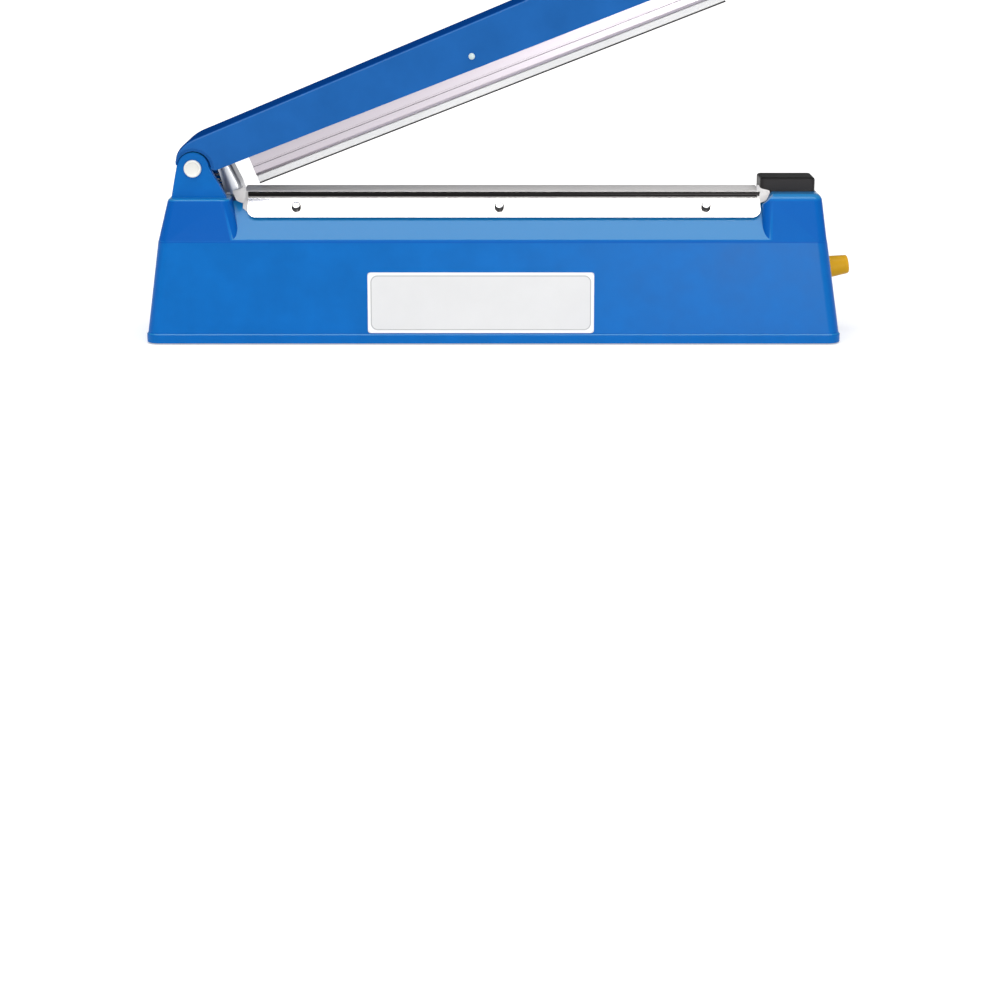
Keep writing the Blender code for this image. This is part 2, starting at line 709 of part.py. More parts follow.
def tower_rings(height, top_left, top_right, foot_left, foot_right, depth, shrink=0):
    """Rings of a tower whose foot is sunk into the housing's walls; shrink gives its hollow."""
    rings = []
    spread = (BASE_DEPTH - SHOULDER_DEPTH) / 2 / SHOULDER_HEIGHT
    half = SHOULDER_DEPTH / 2 - TOWER_INSET - shrink
    radius = TOWER_RADIUS
    for lower, inset in ((TOWER_ROOT, TOWER_INSET), (0, 0)):
        rings.append(rounded_ring(up(SHOULDER_HEIGHT - lower), foot_left + inset, foot_right - inset,
                                  half - inset - spread * inset, radius))
    rings.append(rounded_ring(up(height), top_left, top_right, depth / 2 - shrink, radius))
    return rings


def hinge_tower(name, shrink=0):
    rings = tower_rings(HINGE_TOWER_HEIGHT - shrink, along(HINGE_TOWER_INSET) + shrink,
                        along(HINGE_TOWER_TOP_END) - shrink,
                        along(SHOULDER_INSET_LEFT) + TOWER_INSET + shrink,
                        along(HINGE_TOWER_FOOT_END) - shrink, HINGE_TOWER_DEPTH, shrink)
    return loft(name, rings, tool=True)


def switch_tower(name, shrink=0):
    """The tower under the button, bevelled on the bed's side; its hollow stays off bevel and well."""
    off_bevel = SWITCH_TOWER_BEVEL / 2 if shrink else 0
    height = WELL_FLOOR - shrink if shrink else SWITCH_TOWER_HEIGHT
    rings = tower_rings(height, along(SWITCH_TOWER_TOP_START) + shrink + off_bevel,
                        along(BASE_LENGTH - SWITCH_TOWER_INSET) - shrink,
                        along(SWITCH_TOWER_FOOT_START) + shrink,
                        along(BASE_LENGTH - SHOULDER_INSET_RIGHT) - TOWER_INSET - shrink,
                        SWITCH_TOWER_DEPTH, shrink)
    made = loft(name, rings, tool=True)
    if not shrink:
        top = up(SWITCH_TOWER_HEIGHT)
        round_edges(made, lambda a, b: min(a.z, b.z) > top - FIT, TOWER_EDGE_RADIUS, 3)
        left = along(SWITCH_TOWER_TOP_START)
        bevel = [(left - OVERRUN, top - SWITCH_TOWER_BEVEL - OVERRUN),
                 (left + SWITCH_TOWER_BEVEL + OVERRUN, top + OVERRUN), (left - OVERRUN, top + OVERRUN)]
        cut(made, outline("tower_bevel", bevel, 'Y', -SWITCH_TOWER_DEPTH, SWITCH_TOWER_DEPTH, tool=True))
        well_half = BUTTON_HALF + BUTTON_WELL_FIT
        cut(made, box("button_well", (left - OVERRUN, -well_half, up(WELL_FLOOR)),
                      (along(BUTTON_START + BUTTON_LENGTH) + BUTTON_WELL_FIT, well_half, top + OVERRUN),
                      tool=True))
    return made


def hollow_tools():
    """What is taken out of the housing: its inside, the towers' insides, the bed's slot and the holes."""
    left, right = along(0), along(BASE_LENGTH)
    lean = front_lean()
    wall_off = WALL / cos(lean)
    slope_off = WALL / sin(SLOPE_ANGLE)
    slot_floor = up(BED_TOP - BED_DEPTH) - FIT
    ceiling = slot_floor - WALL
    bend = up(SHOULDER_HEIGHT) - (slope_off - wall_off) * tan(SLOPE_ANGLE)
    ceiling_half = slope_point((ceiling - up(SHOULDER_HEIGHT)) / sin(SLOPE_ANGLE), 0)[0] - slope_off
    skirt_half = BASE_DEPTH / 2 - SKIRT_PROUD - wall_off
    radius = CORNER_RADIUS - WALL
    inside = loft("inside", [
        rounded_ring(up(0) - OVERRUN, left + SKIRT_PROUD + WALL, right - SKIRT_PROUD - WALL, skirt_half,
                     radius),
        rounded_ring(up(SKIRT_HEIGHT), left + SKIRT_PROUD + WALL, right - SKIRT_PROUD - WALL, skirt_half,
                     radius),
        rounded_ring(bend, along(SHOULDER_INSET_LEFT) + WALL,
                     along(BASE_LENGTH - SHOULDER_INSET_RIGHT) - WALL, SHOULDER_DEPTH / 2 - wall_off,
                     radius),
        rounded_ring(ceiling, along(HINGE_TOWER_TOP_END / 2),
                     along((SWITCH_TOWER_TOP_START + BASE_LENGTH) / 2), ceiling_half, radius / 2),
    ], tool=True)
    slot = box("bed_slot", (along(BED_START) - FIT, -BED_HALF - FIT, slot_floor),
               (along(BED_START + BED_LENGTH) + FIT, BED_HALF + FIT, up(PLATEAU_HEIGHT) + OVERRUN),
               tool=True)
    tools = [inside, hinge_tower("hinge_tower_inside", WALL), switch_tower("switch_tower_inside", WALL),
             slot]
    for end, x in terminal_places():
        tools.append(rod("wire_hole_" + end, (x, 0, slot_floor + OVERRUN),
                         (x, 0, slot_floor - WALL - OVERRUN), WIRE_HOLE_RADIUS, tool=True,
                         steps=SMALL_STEPS))
    for side, sign in (("front", -1), ("back", 1)):
        for number, (seat, normal) in enumerate(clip_screw_seats(sign), 1):
            start = seat + normal * OVERRUN
            end = seat - normal * (CLIP_SCREW[3] + FIT)
            tools.append(rod(f"clip_hole_{side}_{number}", start, end, CLIP_SCREW[2] + FIT, tool=True,
                             steps=SMALL_STEPS))
    stem_x = along(STEM_FROM_LEFT)
    tools.append(rod("stem_hole", (stem_x, 0, up(WELL_FLOOR) + OVERRUN),
                     (stem_x, 0, up(WELL_FLOOR) - WALL - OVERRUN), STEM_RADIUS + RUNNING_FIT, tool=True))
    guard_x = along(GUARD_SCREW_FROM_LEFT)
    tools.append(rod("guard_screw_hole", (guard_x, 0, up(HINGE_TOWER_HEIGHT) + OVERRUN),
                     (guard_x, 0, up(HINGE_TOWER_HEIGHT) - WALL - OVERRUN), SMALL_SCREW[2] + FIT,
                     tool=True, steps=SMALL_STEPS))
    axis = timer_direction()
    wall = timer_wall_point()
    tools.append(rod("timer_hole", wall + axis * OVERRUN, wall - axis * (WALL + OVERRUN),
                     TIMER_THREAD_RADIUS + FIT, tool=True))
    outward = Vector((0, cos(lean), sin(lean)))
    gland = gland_point()
    tools.append(rod("gland_hole", gland + outward * OVERRUN, gland - outward * (WALL + OVERRUN),
                     GLAND_RADIUS + FIT, tool=True))
    return tools


def terminal_places():
    """Name and X of the terminal at each end of the bed."""
    inset = TERMINAL_LENGTH / 2 + FIT
    return (("left", along(BED_START) + inset), ("right", along(BED_START + BED_LENGTH) - inset))


def clip_screw_seats(sign):
    """Seat and outward direction of each clip screw on one side, on the plate's outer face."""
    half, z = slope_point(CLIP_SCREW_REACH, plate_lift() + PLATE_THICKNESS)
    normal = Vector((0, sign * sin(SLOPE_ANGLE), cos(SLOPE_ANGLE)))
    length = BED_START + BED_LENGTH - PLATE_START
    return [(Vector((along(PLATE_START + share * length), sign * half, z)), normal)
            for share in CLIP_SCREW_SHARES]


def plate_lift():
    """How far the clip plate's inner face lies off the slope."""
    return FIT + CLOTH_THICKNESS + FIT


def timer_direction():
    lean = wall_lean_right()
    return Vector((cos(lean), 0, sin(lean)))


def timer_wall_point():
    """Where the timer's axis passes the outer face of the right-hand wall."""
    lean = wall_lean_right()
    x = along(BASE_LENGTH - SKIRT_PROUD) - (TIMER_HEIGHT - SKIRT_HEIGHT) * tan(lean)
    return Vector((x, 0, up(TIMER_HEIGHT)))


def gland_point():
    y = BASE_DEPTH / 2 - SKIRT_PROUD - (GLAND_HEIGHT - SKIRT_HEIGHT) * tan(front_lean())
    return Vector((along(GLAND_FROM_LEFT), y, up(GLAND_HEIGHT)))


def ear(side):
    """One hinge ear: a round head over a foot that widens towards the bed."""
    pin_x, pin_z = along(PIN_FROM_LEFT), up(PIN_HEIGHT)
    foot = up(HINGE_TOWER_HEIGHT) - WALL / 2
    waist = pin_z - EAR_RADIUS / 2
    points = [(pin_x - EAR_FOOT_LEFT, foot), (pin_x + EAR_FOOT_RIGHT, foot),
              (pin_x + EAR_WAIST_RIGHT, waist),
              *arc((pin_x, pin_z), EAR_RADIUS, 0, 180, 12)]
    near = EAR_FACE - EAR_THICKNESS
    start, end = sorted((side * near, side * EAR_FACE))
    name = "ear_front" if side < 0 else "ear_back"
    made = outline(name, points, 'Y', start, end, tool=True)
    hole = rod(name + "_hole", (pin_x, start - OVERRUN, pin_z), (pin_x, end + OVERRUN, pin_z),
               PIN_RADIUS + FIT, tool=True)
    cut(made, hole)
    return made


def switch_rib():
    """A rib under the switch tower's roof, with two pegs that hold the microswitch."""
    x = along(STEM_FROM_LEFT)
    y = SWITCH_THICKNESS / 2 + FIT
    rib = box("switch_rib", (x - SWITCH_LENGTH / 2, y, up(SWITCH_TOP - SWITCH_HEIGHT)),
              (x + SWITCH_LENGTH / 2, y + SWITCH_RIB, up(WELL_FLOOR) - WALL / 2), tool=True)
    roof = up(WELL_FLOOR) - WALL
    lowest = roof - FIT - RING_THICKNESS - BUTTON_TRAVEL - RUNNING_FIT
    cut(rib, rod("ring_clearance", (x, 0, lowest), (x, 0, roof + WALL), RING_OUTER + RUNNING_FIT, tool=True))
    for number, (peg_x, z) in enumerate(switch_peg_places(), 1):
        join(rib, rod(f"switch_peg_{number}", (peg_x, -y - SWITCH_RIB / 2, z), (peg_x, y + SWITCH_RIB / 2, z),
                      SWITCH_PEG_RADIUS, tool=True, steps=SMALL_STEPS))
    return rib


def switch_peg_places():
    x = along(STEM_FROM_LEFT)
    z = up(SWITCH_TOP - SWITCH_HEIGHT + SWITCH_PEG_ABOVE)
    return [(x - SWITCH_PEG_SPACING / 2, z), (x + SWITCH_PEG_SPACING / 2, z)]


def build_bottom():
    """Bottom plate with the board's standoffs, and four feet with their screws."""
    lean = front_lean()
    half = BASE_DEPTH / 2 - SKIRT_PROUD - WALL / cos(lean) - FIT
    left = along(SKIRT_PROUD) + WALL + FIT
    right = along(BASE_LENGTH - SKIRT_PROUD) - WALL - FIT
    radius = CORNER_RADIUS - WALL
    plate = loft("bottom_plate", [rounded_ring(z, left, right, half, radius)
                                  for z in (up(PLATE_RECESS), plate_top())], STEEL)
    for name, x, y in post_places():
        drill(plate, name + "_plate_hole", (x, y, up(PLATE_RECESS)), (0, 0, -1),
              FOOT_SCREW[2] + FIT, BOTTOM_THICKNESS + OVERRUN)
        foot = name.replace("post", "foot")
        build_foot(foot, x, y)
        screw(foot + "_screw", FOOT_SCREW, (x, y, FOOT_SINK_DEPTH), (0, 0, -1))
    for number, (x, y) in enumerate(standoff_places(), 1):
        join(plate, rod(f"standoff_{number}", (x, y, up(PLATE_RECESS) + BOTTOM_THICKNESS / 2),
                        (x, y, up(BOARD_HEIGHT) - FIT), STANDOFF_RADIUS, tool=True, steps=SMALL_STEPS))


def build_foot(name, x, y):
    top = up(PLATE_RECESS) - FIT
    profile = [(FOOT_HOLE_RADIUS, top), (FOOT_RADIUS, top), (FOOT_RADIUS, FOOT_EDGE),
               (FOOT_RADIUS - FOOT_EDGE, 0), (FOOT_SINK_RADIUS, 0), (FOOT_SINK_RADIUS, FOOT_SINK_DEPTH),
               (FOOT_HOLE_RADIUS, FOOT_SINK_DEPTH), (FOOT_HOLE_RADIUS, top)]
    return turned(name, profile, (x, y, 0), (0, 0, 1), RUBBER)


def standoff_places():
    x = along(BOARD_FROM_LEFT)
    reach_x = BOARD_LENGTH / 2 - STANDOFF_INSET
    reach_y = BOARD_WIDTH / 2 - STANDOFF_INSET
    return [(x + sx * reach_x, sy * reach_y) for sx in (-1, 1) for sy in (-1, 1)]


def build_bed():
    """Sealing bed, insulation, element, terminals and cover cloth."""
    start, end = along(BED_START), along(BED_START + BED_LENGTH)
    bottom, top = up(BED_TOP - BED_DEPTH), up(BED_TOP)
    gap = TERMINAL_LENGTH + FIT * 2
    box("sealing_bed", (start + gap, -BED_HALF, bottom), (end - gap, BED_HALF, top), ALUMINIUM)
    for side, x in terminal_places():
        block = box("terminal_" + side, (x - TERMINAL_LENGTH / 2, -BED_HALF, bottom),
                    (x + TERMINAL_LENGTH / 2, BED_HALF, top), BRASS)
        drill(block, "terminal_hole_" + side, (x, 0, bottom), (0, 0, -1), TERMINAL_RADIUS, BED_DEPTH / 2)
    under = top + FIT
    box("insulation_strip", (start + FIT, -INSULATION_WIDTH / 2, under),
        (end - FIT, INSULATION_WIDTH / 2, under + INSULATION_THICKNESS), TAPE)
    strip = under + INSULATION_THICKNESS + FIT
    box("heating_element", (start + ELEMENT_END_GAP, -ELEMENT_WIDTH / 2, strip),
        (end - ELEMENT_END_GAP, ELEMENT_WIDTH / 2, strip + ELEMENT_THICKNESS), STEEL)
    build_cloth(start, end)
    for name, sign in (("front", -1), ("back", 1)):
        build_clip(name, sign)


def cloth_inside():
    """Half depth and Z of the cloth's inner faces on the bed's side and top."""
    top = up(BED_TOP) + FIT + INSULATION_THICKNESS + FIT + ELEMENT_THICKNESS + FIT
    return BED_HALF + FIT, top


def build_cloth(start, end):
    """Cover cloth: over the bed, down its sides and along the slopes under the clip plates."""
    inner_half, inner_top = cloth_inside()
    outer_half = inner_half + CLOTH_THICKNESS
    outer_top = inner_top + CLOTH_THICKNESS
    reach = PLATE_FOOT_REACH + CLOTH_HIDDEN
    low, high = FIT, FIT + CLOTH_THICKNESS
    outer = [slope_point(reach, high), slope_point(slope_reach(outer_half, high), high),
             (outer_half, outer_top)]
    inner = [slope_point(reach, low), slope_point(slope_reach(inner_half, low), low),
             (inner_half, inner_top)]
    points = [(-y, z) for y, z in outer] + [(y, z) for y, z in reversed(outer)]
    points += inner + [(-y, z) for y, z in reversed(inner)]
    cloth = outline("cover_cloth", points, 'X', start, end, CLOTH)
    foot = slope_point(reach, 0)[1] + MM
    round_edges(cloth, lambda a, b: max(a.z, b.z) < foot and abs(a.x - b.x) < FIT,
                CLOTH_TRIM, 1)
    for sign, side in ((-1, "front"), (1, "back")):
        for number, (seat, normal) in enumerate(clip_screw_seats(sign), 1):
            drill(cloth, f"cloth_hole_{side}_{number}", seat, normal, CLIP_SCREW[2] + FIT,
                  CLIP_SCREW[3])


def build_clip(name, sign):
    """A bent clip plate: its leg lies on the slope and its lip stands along the bed."""
    start, end = along(PLATE_START), along(BED_START + BED_LENGTH)
    inner_half = cloth_inside()[0] + CLOTH_THICKNESS + FIT
    outer_half = inner_half + PLATE_THICKNESS
    low = plate_lift()
    high = low + PLATE_THICKNESS
    lip = cloth_inside()[1]
    points = [slope_point(PLATE_FOOT_REACH, high), slope_point(slope_reach(outer_half, high), high),
              (outer_half, lip), (inner_half, lip),
              slope_point(slope_reach(inner_half, low), low), slope_point(PLATE_FOOT_REACH, low)]
    plate = outline("clip_plate_" + name, [(sign * y, z) for y, z in points], 'X', start, end, POLISHED)
    foot = slope_point(PLATE_FOOT_REACH, high)[1] + MM / 2
    round_edges(plate, lambda a, b: max(a.z, b.z) < foot and abs(a.x - b.x) < FIT, PLATE_CORNER, 4)
    for number, (seat, normal) in enumerate(clip_screw_seats(sign), 1):
        drill(plate, f"plate_hole_{name}_{number}", seat, normal, CLIP_SCREW[2] + FIT,
              PLATE_THICKNESS + OVERRUN)
        screw(f"clip_screw_{name}_{number}", CLIP_SCREW, seat, normal)


def build_hinge():
    """Pin through both ears, with a cap over each end."""
    x, z = along(PIN_FROM_LEFT), up(PIN_HEIGHT)
    cap_foot = EAR_FACE + FIT
    pin_end = cap_foot + CAP_THICKNESS - CAP_FLOOR - FIT
    rod("hinge_pin", (x, -pin_end, z), (x, pin_end, z), PIN_RADIUS, STEEL)
    bore = PIN_RADIUS + FIT
    floor = CAP_THICKNESS - CAP_FLOOR
    edge = CAP_THICKNESS / 4
    profile = [(0, CAP_THICKNESS), (CAP_RADIUS - edge, CAP_THICKNESS), (CAP_RADIUS, CAP_THICKNESS - edge),
               (CAP_RADIUS, 0), (bore, 0), (bore, floor), (0, floor)]
    for name, sign in (("front", -1), ("back", 1)):
        turned("hinge_cap_" + name, profile, (x, sign * cap_foot, z), (0, sign, 0), CREAM)


def build_guard():
    """Bent sheet guard in front of the lifting spring, and the spring."""
    right = along(GUARD_FROM_LEFT)
    bend = up(GUARD_BEND_HEIGHT)
    top = up(GUARD_TOP_HEIGHT)
    foot = up(PLATEAU_HEIGHT) + FIT
    tower = up(HINGE_TOWER_HEIGHT) + FIT
    inner = right - GUARD_FOOT_DEPTH
    lean = (top - bend) * tan(GUARD_LEAN)
    points = [(right, foot), (right, bend), (right - lean, top), (right - lean - GUARD_FLANGE, top),
              (right - GUARD_FLANGE - GUARD_FLANGE / 6, tower), (inner, tower), (inner, foot)]
    guard = outline("spring_guard", points, 'Y', -GUARD_HALF, GUARD_HALF, POLISHED)
    round_edges(guard, lambda a, b: min(a.z, b.z) > foot - FIT and abs(a.y - b.y) < FIT
                and min(a.x, b.x) > right - lean - FIT and abs(a.z - b.z) > FIT, GUARD_BEND_RADIUS, 3)
    sheet = GUARD_SHEET
    hollow = [(right - sheet, foot - OVERRUN), (right - sheet, bend),
              (right - sheet - lean - OVERRUN * tan(GUARD_LEAN), top + OVERRUN),
              (along(0), top + OVERRUN), (along(0), foot - OVERRUN)]
    cut(guard, outline("guard_hollow", hollow, 'Y', -GUARD_HALF + sheet, GUARD_HALF - sheet, tool=True))
    tab_start = right - sheet / 2 - GUARD_TAB_LENGTH
    join(guard, box("guard_tab", (tab_start, -GUARD_HALF + sheet / 2, tower),
                    (right - sheet / 2, GUARD_HALF - sheet / 2, tower + sheet), tool=True))
    screw_x = along(GUARD_SCREW_FROM_LEFT)
    drill(guard, "guard_tab_hole", (screw_x, 0, tower + sheet), (0, 0, 1), SMALL_SCREW[2] + FIT,
          sheet + OVERRUN)
    screw("guard_screw", SMALL_SCREW, (screw_x, 0, tower + sheet), (0, 0, 1))
    coil("lift_spring", (along(PIN_FROM_LEFT + LIFT_SPRING_FROM_PIN), 0, tower), LIFT_SPRING_HEIGHT,
         LIFT_SPRING_MEAN, LIFT_SPRING_WIRE, LIFT_SPRING_TURNS)


def arm_back(inset, foot, steps):
    """The arm's full rear curve, from its top down to a height: fuller than an ellipse."""
    reach, rise = ARM_REAR_REACH - inset, ARM_REAR_RISE - inset
    power = 2 / ARM_REAR_FULLNESS
    sine = (foot / rise) ** (1 / power)
    last = pi - atan2(sine, sqrt(1 - sine * sine))
    points = []
    for i in range(steps + 1):
        angle = pi / 2 + (last - pi / 2) * i / steps
        across = max(-cos(angle), 0) ** power
        points.append((ARM_REAR_START - reach * across, rise * sin(angle) ** power))
    return points


def arm_outline(inset=0, drop=0):
    """Side view of the arm about its pin; inset and drop give its open inside."""
    bottom = -ARM_BELOW_PIN - drop
    end = ARM_LENGTH - inset
    nose_start = ARM_LENGTH - ARM_NOSE_LENGTH
    points = [(ARM_SIDE_START, bottom), (nose_start, bottom)]
    if not drop:
        for i in range(1, 5):
            share = i / 4
            points.append((nose_start + share * ARM_NOSE_LENGTH, bottom + share * share * ARM_NOSE_RISE))
    else:
        points.append((end, bottom))
    points.append((end, arm_top(end) - inset))
    foot = ARM_REAR_END - (ARM_WALL if drop else 0)
    points += arm_back(inset, foot, 10)
    if drop:
        points.append((points[-1][0], bottom))
    return points


def build_arm(axis):
    """Hollow arm: shell, lugs on the pin, spring seat, presser rib and handle."""
    shell = outline("arm_shell", arm_outline(), 'Y', -ARM_HALF, ARM_HALF, ARM_BLUE, axis)
    round_edges(shell, lambda a, b: min(a.z, b.z) > ARM_REAR_END - FIT and abs(a.y - b.y) < FIT
                and abs(a.x - b.x) > FIT, ARM_EDGE_RADIUS, 3)
    inner_half = ARM_HALF - ARM_WALL
    cut(shell, outline("arm_inside", arm_outline(ARM_WALL, OVERRUN), 'Y', -inner_half, inner_half,
                       parent=axis, tool=True))
    lug_face = EAR_FACE - EAR_THICKNESS - RUNNING_FIT
    for name, side in (("front", -1), ("back", 1)):
        outer = ARM_HALF + OVERRUN
        cut(shell, rod("notch_" + name, (NOTCH_SHIFT_X, side * lug_face, NOTCH_SHIFT_Z),
                       (NOTCH_SHIFT_X, side * outer, NOTCH_SHIFT_Z), NOTCH_RADIUS, parent=axis,
                       tool=True, steps=2 * ROUND_STEPS))
    for name, side in (("front", -1), ("back", 1)):
        join(shell, lug(name, side, lug_face, axis))
    join(shell, box("spring_seat", (SEAT_NEAR, -lug_face + LUG_THICKNESS / 2, SEAT_BELOW),
                    (SEAT_FAR - LUG_THICKNESS, lug_face - LUG_THICKNESS / 2, SEAT_BELOW + SEAT_THICKNESS),
                    parent=axis, tool=True))
    presser = ARM_LENGTH - PRESSER_FROM_END
    lowest = BUTTON_TOP - PIN_HEIGHT + FIT
    join(shell, box("presser_rib", (presser - PRESSER_THICKNESS / 2, -PRESSER_HALF, lowest),
                    (presser + PRESSER_THICKNESS / 2, PRESSER_HALF, arm_top(presser) - ARM_WALL / 2),
                    parent=axis, tool=True))
    for side in (-1, 1):
        drill(shell, "rivet_hole_" + ("front" if side < 0 else "back"),
              (BRACKET_MIDDLE, side * ARM_HALF, RIVET_ABOVE_PIN), (0, side, 0), RIVET_RADIUS + FIT,
              ARM_WALL + OVERRUN, parent=axis)
    cut(shell, rod("pin_hole", (0, -ARM_HALF, 0), (0, ARM_HALF, 0), PIN_RADIUS + FIT, parent=axis,
                   tool=True))
    build_handle(axis, shell)


def lug(name, side, face, axis):
    """A plate inside the arm that closes the recess around the ear and turns on the pin."""
    top_x, top_z = LUG_REACH, arm_top(LUG_REACH) - ARM_WALL / 2
    back = arm_back(ARM_WALL / 2, ARM_REAR_END, 8)
    points = [(top_x, top_z), *back, *arc((0, 0), LUG_RADIUS, *LUG_SWEEP, 10),
              (top_x, -ARM_BELOW_PIN + LUG_THICKNESS / 6)]
    start, end = sorted((side * (face - LUG_THICKNESS), side * face))
    return outline("lug_" + name, points, 'Y', start, end, parent=axis, tool=True)


def build_handle(axis, shell):
    """Grip over the arm's front end, with a lip past it, held by two screws from inside the arm."""
    rear = ARM_LENGTH + FIT + HANDLE_WALL / 2 - HANDLE_LENGTH
    half = ARM_HALF + FIT + HANDLE_WALL
    sections = list(zip(HANDLE_SECTION_SHARES, HANDLE_FOOTS, HANDLE_RIDGES, HANDLE_CROWNS))
    sections.append((1 + HANDLE_LIP / HANDLE_LENGTH, HANDLE_FOOTS[-1], HANDLE_TIP_RIDGE, HANDLE_TIP_CROWN))
    rings = []
    for share, foot, ridge, crown in sections:
        x = rear + share * HANDLE_LENGTH
        shoulder = half - HANDLE_CHAMFER
        rings.append([(x, -half, foot), (x, -half, ridge), (x, -shoulder, crown), (x, shoulder, crown),
                      (x, half, ridge), (x, half, foot)])
    handle = loft("handle", rings, BLACK, axis)
    front = rear + HANDLE_LENGTH
    far = front + HANDLE_LIP + OVERRUN
    rise = HANDLE_LIP_RISE * (HANDLE_LIP + OVERRUN) / HANDLE_LIP
    under = [(front, 0), (front, HANDLE_LIP_FOOT), (far, HANDLE_LIP_FOOT + rise), (far, 0)]
    cut(handle, outline("under_lip", under, 'Y', -half - OVERRUN, half + OVERRUN, parent=axis, tool=True))
    tip = front + HANDLE_LIP
    for name, side in (("front", -1), ("back", 1)):
        corner = [(tip - HANDLE_LIP, side * (half + OVERRUN)), (tip + OVERRUN, side * (half + OVERRUN)),
                  (tip + OVERRUN, side * (half - HANDLE_LIP))]
        cut(handle, lip_corner("lip_corner_" + name, corner, axis))
    soften(handle, HANDLE_EDGE_RADIUS)
    inner = ARM_HALF + FIT
    start, end = rear - OVERRUN, ARM_LENGTH + FIT
    nest = [(start, -ARM_BELOW_PIN - OVERRUN), (end, -ARM_BELOW_PIN - OVERRUN), (end, arm_top(end) + FIT),
            (start, arm_top(start) + FIT)]
    cut(handle, outline("arm_nest", nest, 'Y', -inner, inner, parent=axis, tool=True))
    for number, share in enumerate(HANDLE_SCREW_SHARES, 1):
        x = rear + share * HANDLE_LENGTH
        seat = (x, 0, arm_top(x) - ARM_WALL)
        depth = ARM_WALL + SMALL_SCREW[3] - ARM_WALL / 2
        drill(handle, f"handle_hole_{number}", seat, (0, 0, -1), SMALL_SCREW[2] + FIT, depth, axis)
        drill(shell, f"handle_screw_hole_{number}", seat, (0, 0, -1), SMALL_SCREW[2] + FIT,
              ARM_WALL + OVERRUN, axis)
        screw(f"handle_screw_{number}", SMALL_SCREW, seat, (0, 0, -1), parent=axis)


def lip_corner(name, points, axis):
    """A three-sided tool that takes a corner off the lip, as seen from above."""
    low, high = 0, HANDLE_TIP_CROWN + OVERRUN
    rings = [[(x, y, z) for x, y in points] for z in (low, high)]
    return loft(name, rings, parent=axis, tool=True)


def build_press_bar(axis):
    """Grooved aluminium bar, silicone strip, facing tape and the studs that carry them."""
    slide = pivot("press_bar_slide", (BAR_REAR, 0, BAR_TOP), parent=axis)
    top, floor, foot = 0, BAR_FLOOR - BAR_TOP, BAR_FOOT - BAR_TOP
    groove = BAR_GROOVE_TOP - BAR_TOP
    flank = BAR_FLANK_END - BAR_TOP
    pocket = BAR_POCKET_TOP - BAR_TOP
    inner = BAR_HALF - BAR_WALL
    side = [(inner, floor), (inner, top), (BAR_HALF, top), (BAR_HALF, groove),
            (BAR_HALF - BAR_GROOVE_DEPTH, groove),
            (BAR_HALF - BAR_GROOVE_DEPTH, groove - BAR_GROOVE_WIDTH),
            (BAR_HALF, groove - BAR_GROOVE_WIDTH), (BAR_HALF, flank), (BAR_FOOT_HALF, foot),
            (BAR_POCKET_HALF, foot), (BAR_POCKET_HALF, pocket)]
    points = side + [(-y, z) for y, z in reversed(side)]
    bar = outline("press_bar", points, 'X', 0, BAR_LENGTH, ALUMINIUM, slide)
    silicone_foot = SILICONE_FOOT - BAR_TOP
    neck = BAR_POCKET_HALF - FIT
    strip = [(neck, pocket - FIT), (neck, foot - FIT), (SILICONE_HALF, foot - FIT),
             (SILICONE_HALF, silicone_foot)]
    outline("silicone_strip", strip + [(-y, z) for y, z in reversed(strip)], 'X', 0, BAR_LENGTH, SILICONE,
            slide)
    tape_top = silicone_foot - FIT
    box("facing_tape", (0, -TAPE_HALF, tape_top - TAPE_THICKNESS), (BAR_LENGTH, TAPE_HALF, tape_top),
        TAPE, slide)
    head = BRACKET_BELOW + BRACKET_SHEET + FIT - BAR_TOP
    for number, x in enumerate(stud_places(), 1):
        x -= BAR_REAR
        profile = [(0, head + STUD_HEAD_HEIGHT), (STUD_HEAD_RADIUS, head + STUD_HEAD_HEIGHT),
                   (STUD_HEAD_RADIUS, head), (STUD_RADIUS, head), (STUD_RADIUS, floor - STUD_DEPTH),
                   (0, floor - STUD_DEPTH)]
        turned(f"bar_stud_{number}", profile, (x, 0, 0), (0, 0, 1), STEEL, slide, steps=SMALL_STEPS)
        drill(bar, f"stud_socket_{number}", (x, 0, floor), (0, 0, 1), STUD_RADIUS + FIT,
              STUD_DEPTH + FIT, slide)
        coil(f"bar_spring_{number}", (x, 0, floor + FIT), BRACKET_BELOW - BAR_FLOOR - FIT * 2,
             BAR_SPRING_MEAN, BAR_SPRING_WIRE, BAR_SPRING_TURNS, slide)


def stud_places():
    return (BRACKET_MIDDLE - STUD_SPACING / 2, BRACKET_MIDDLE + STUD_SPACING / 2)


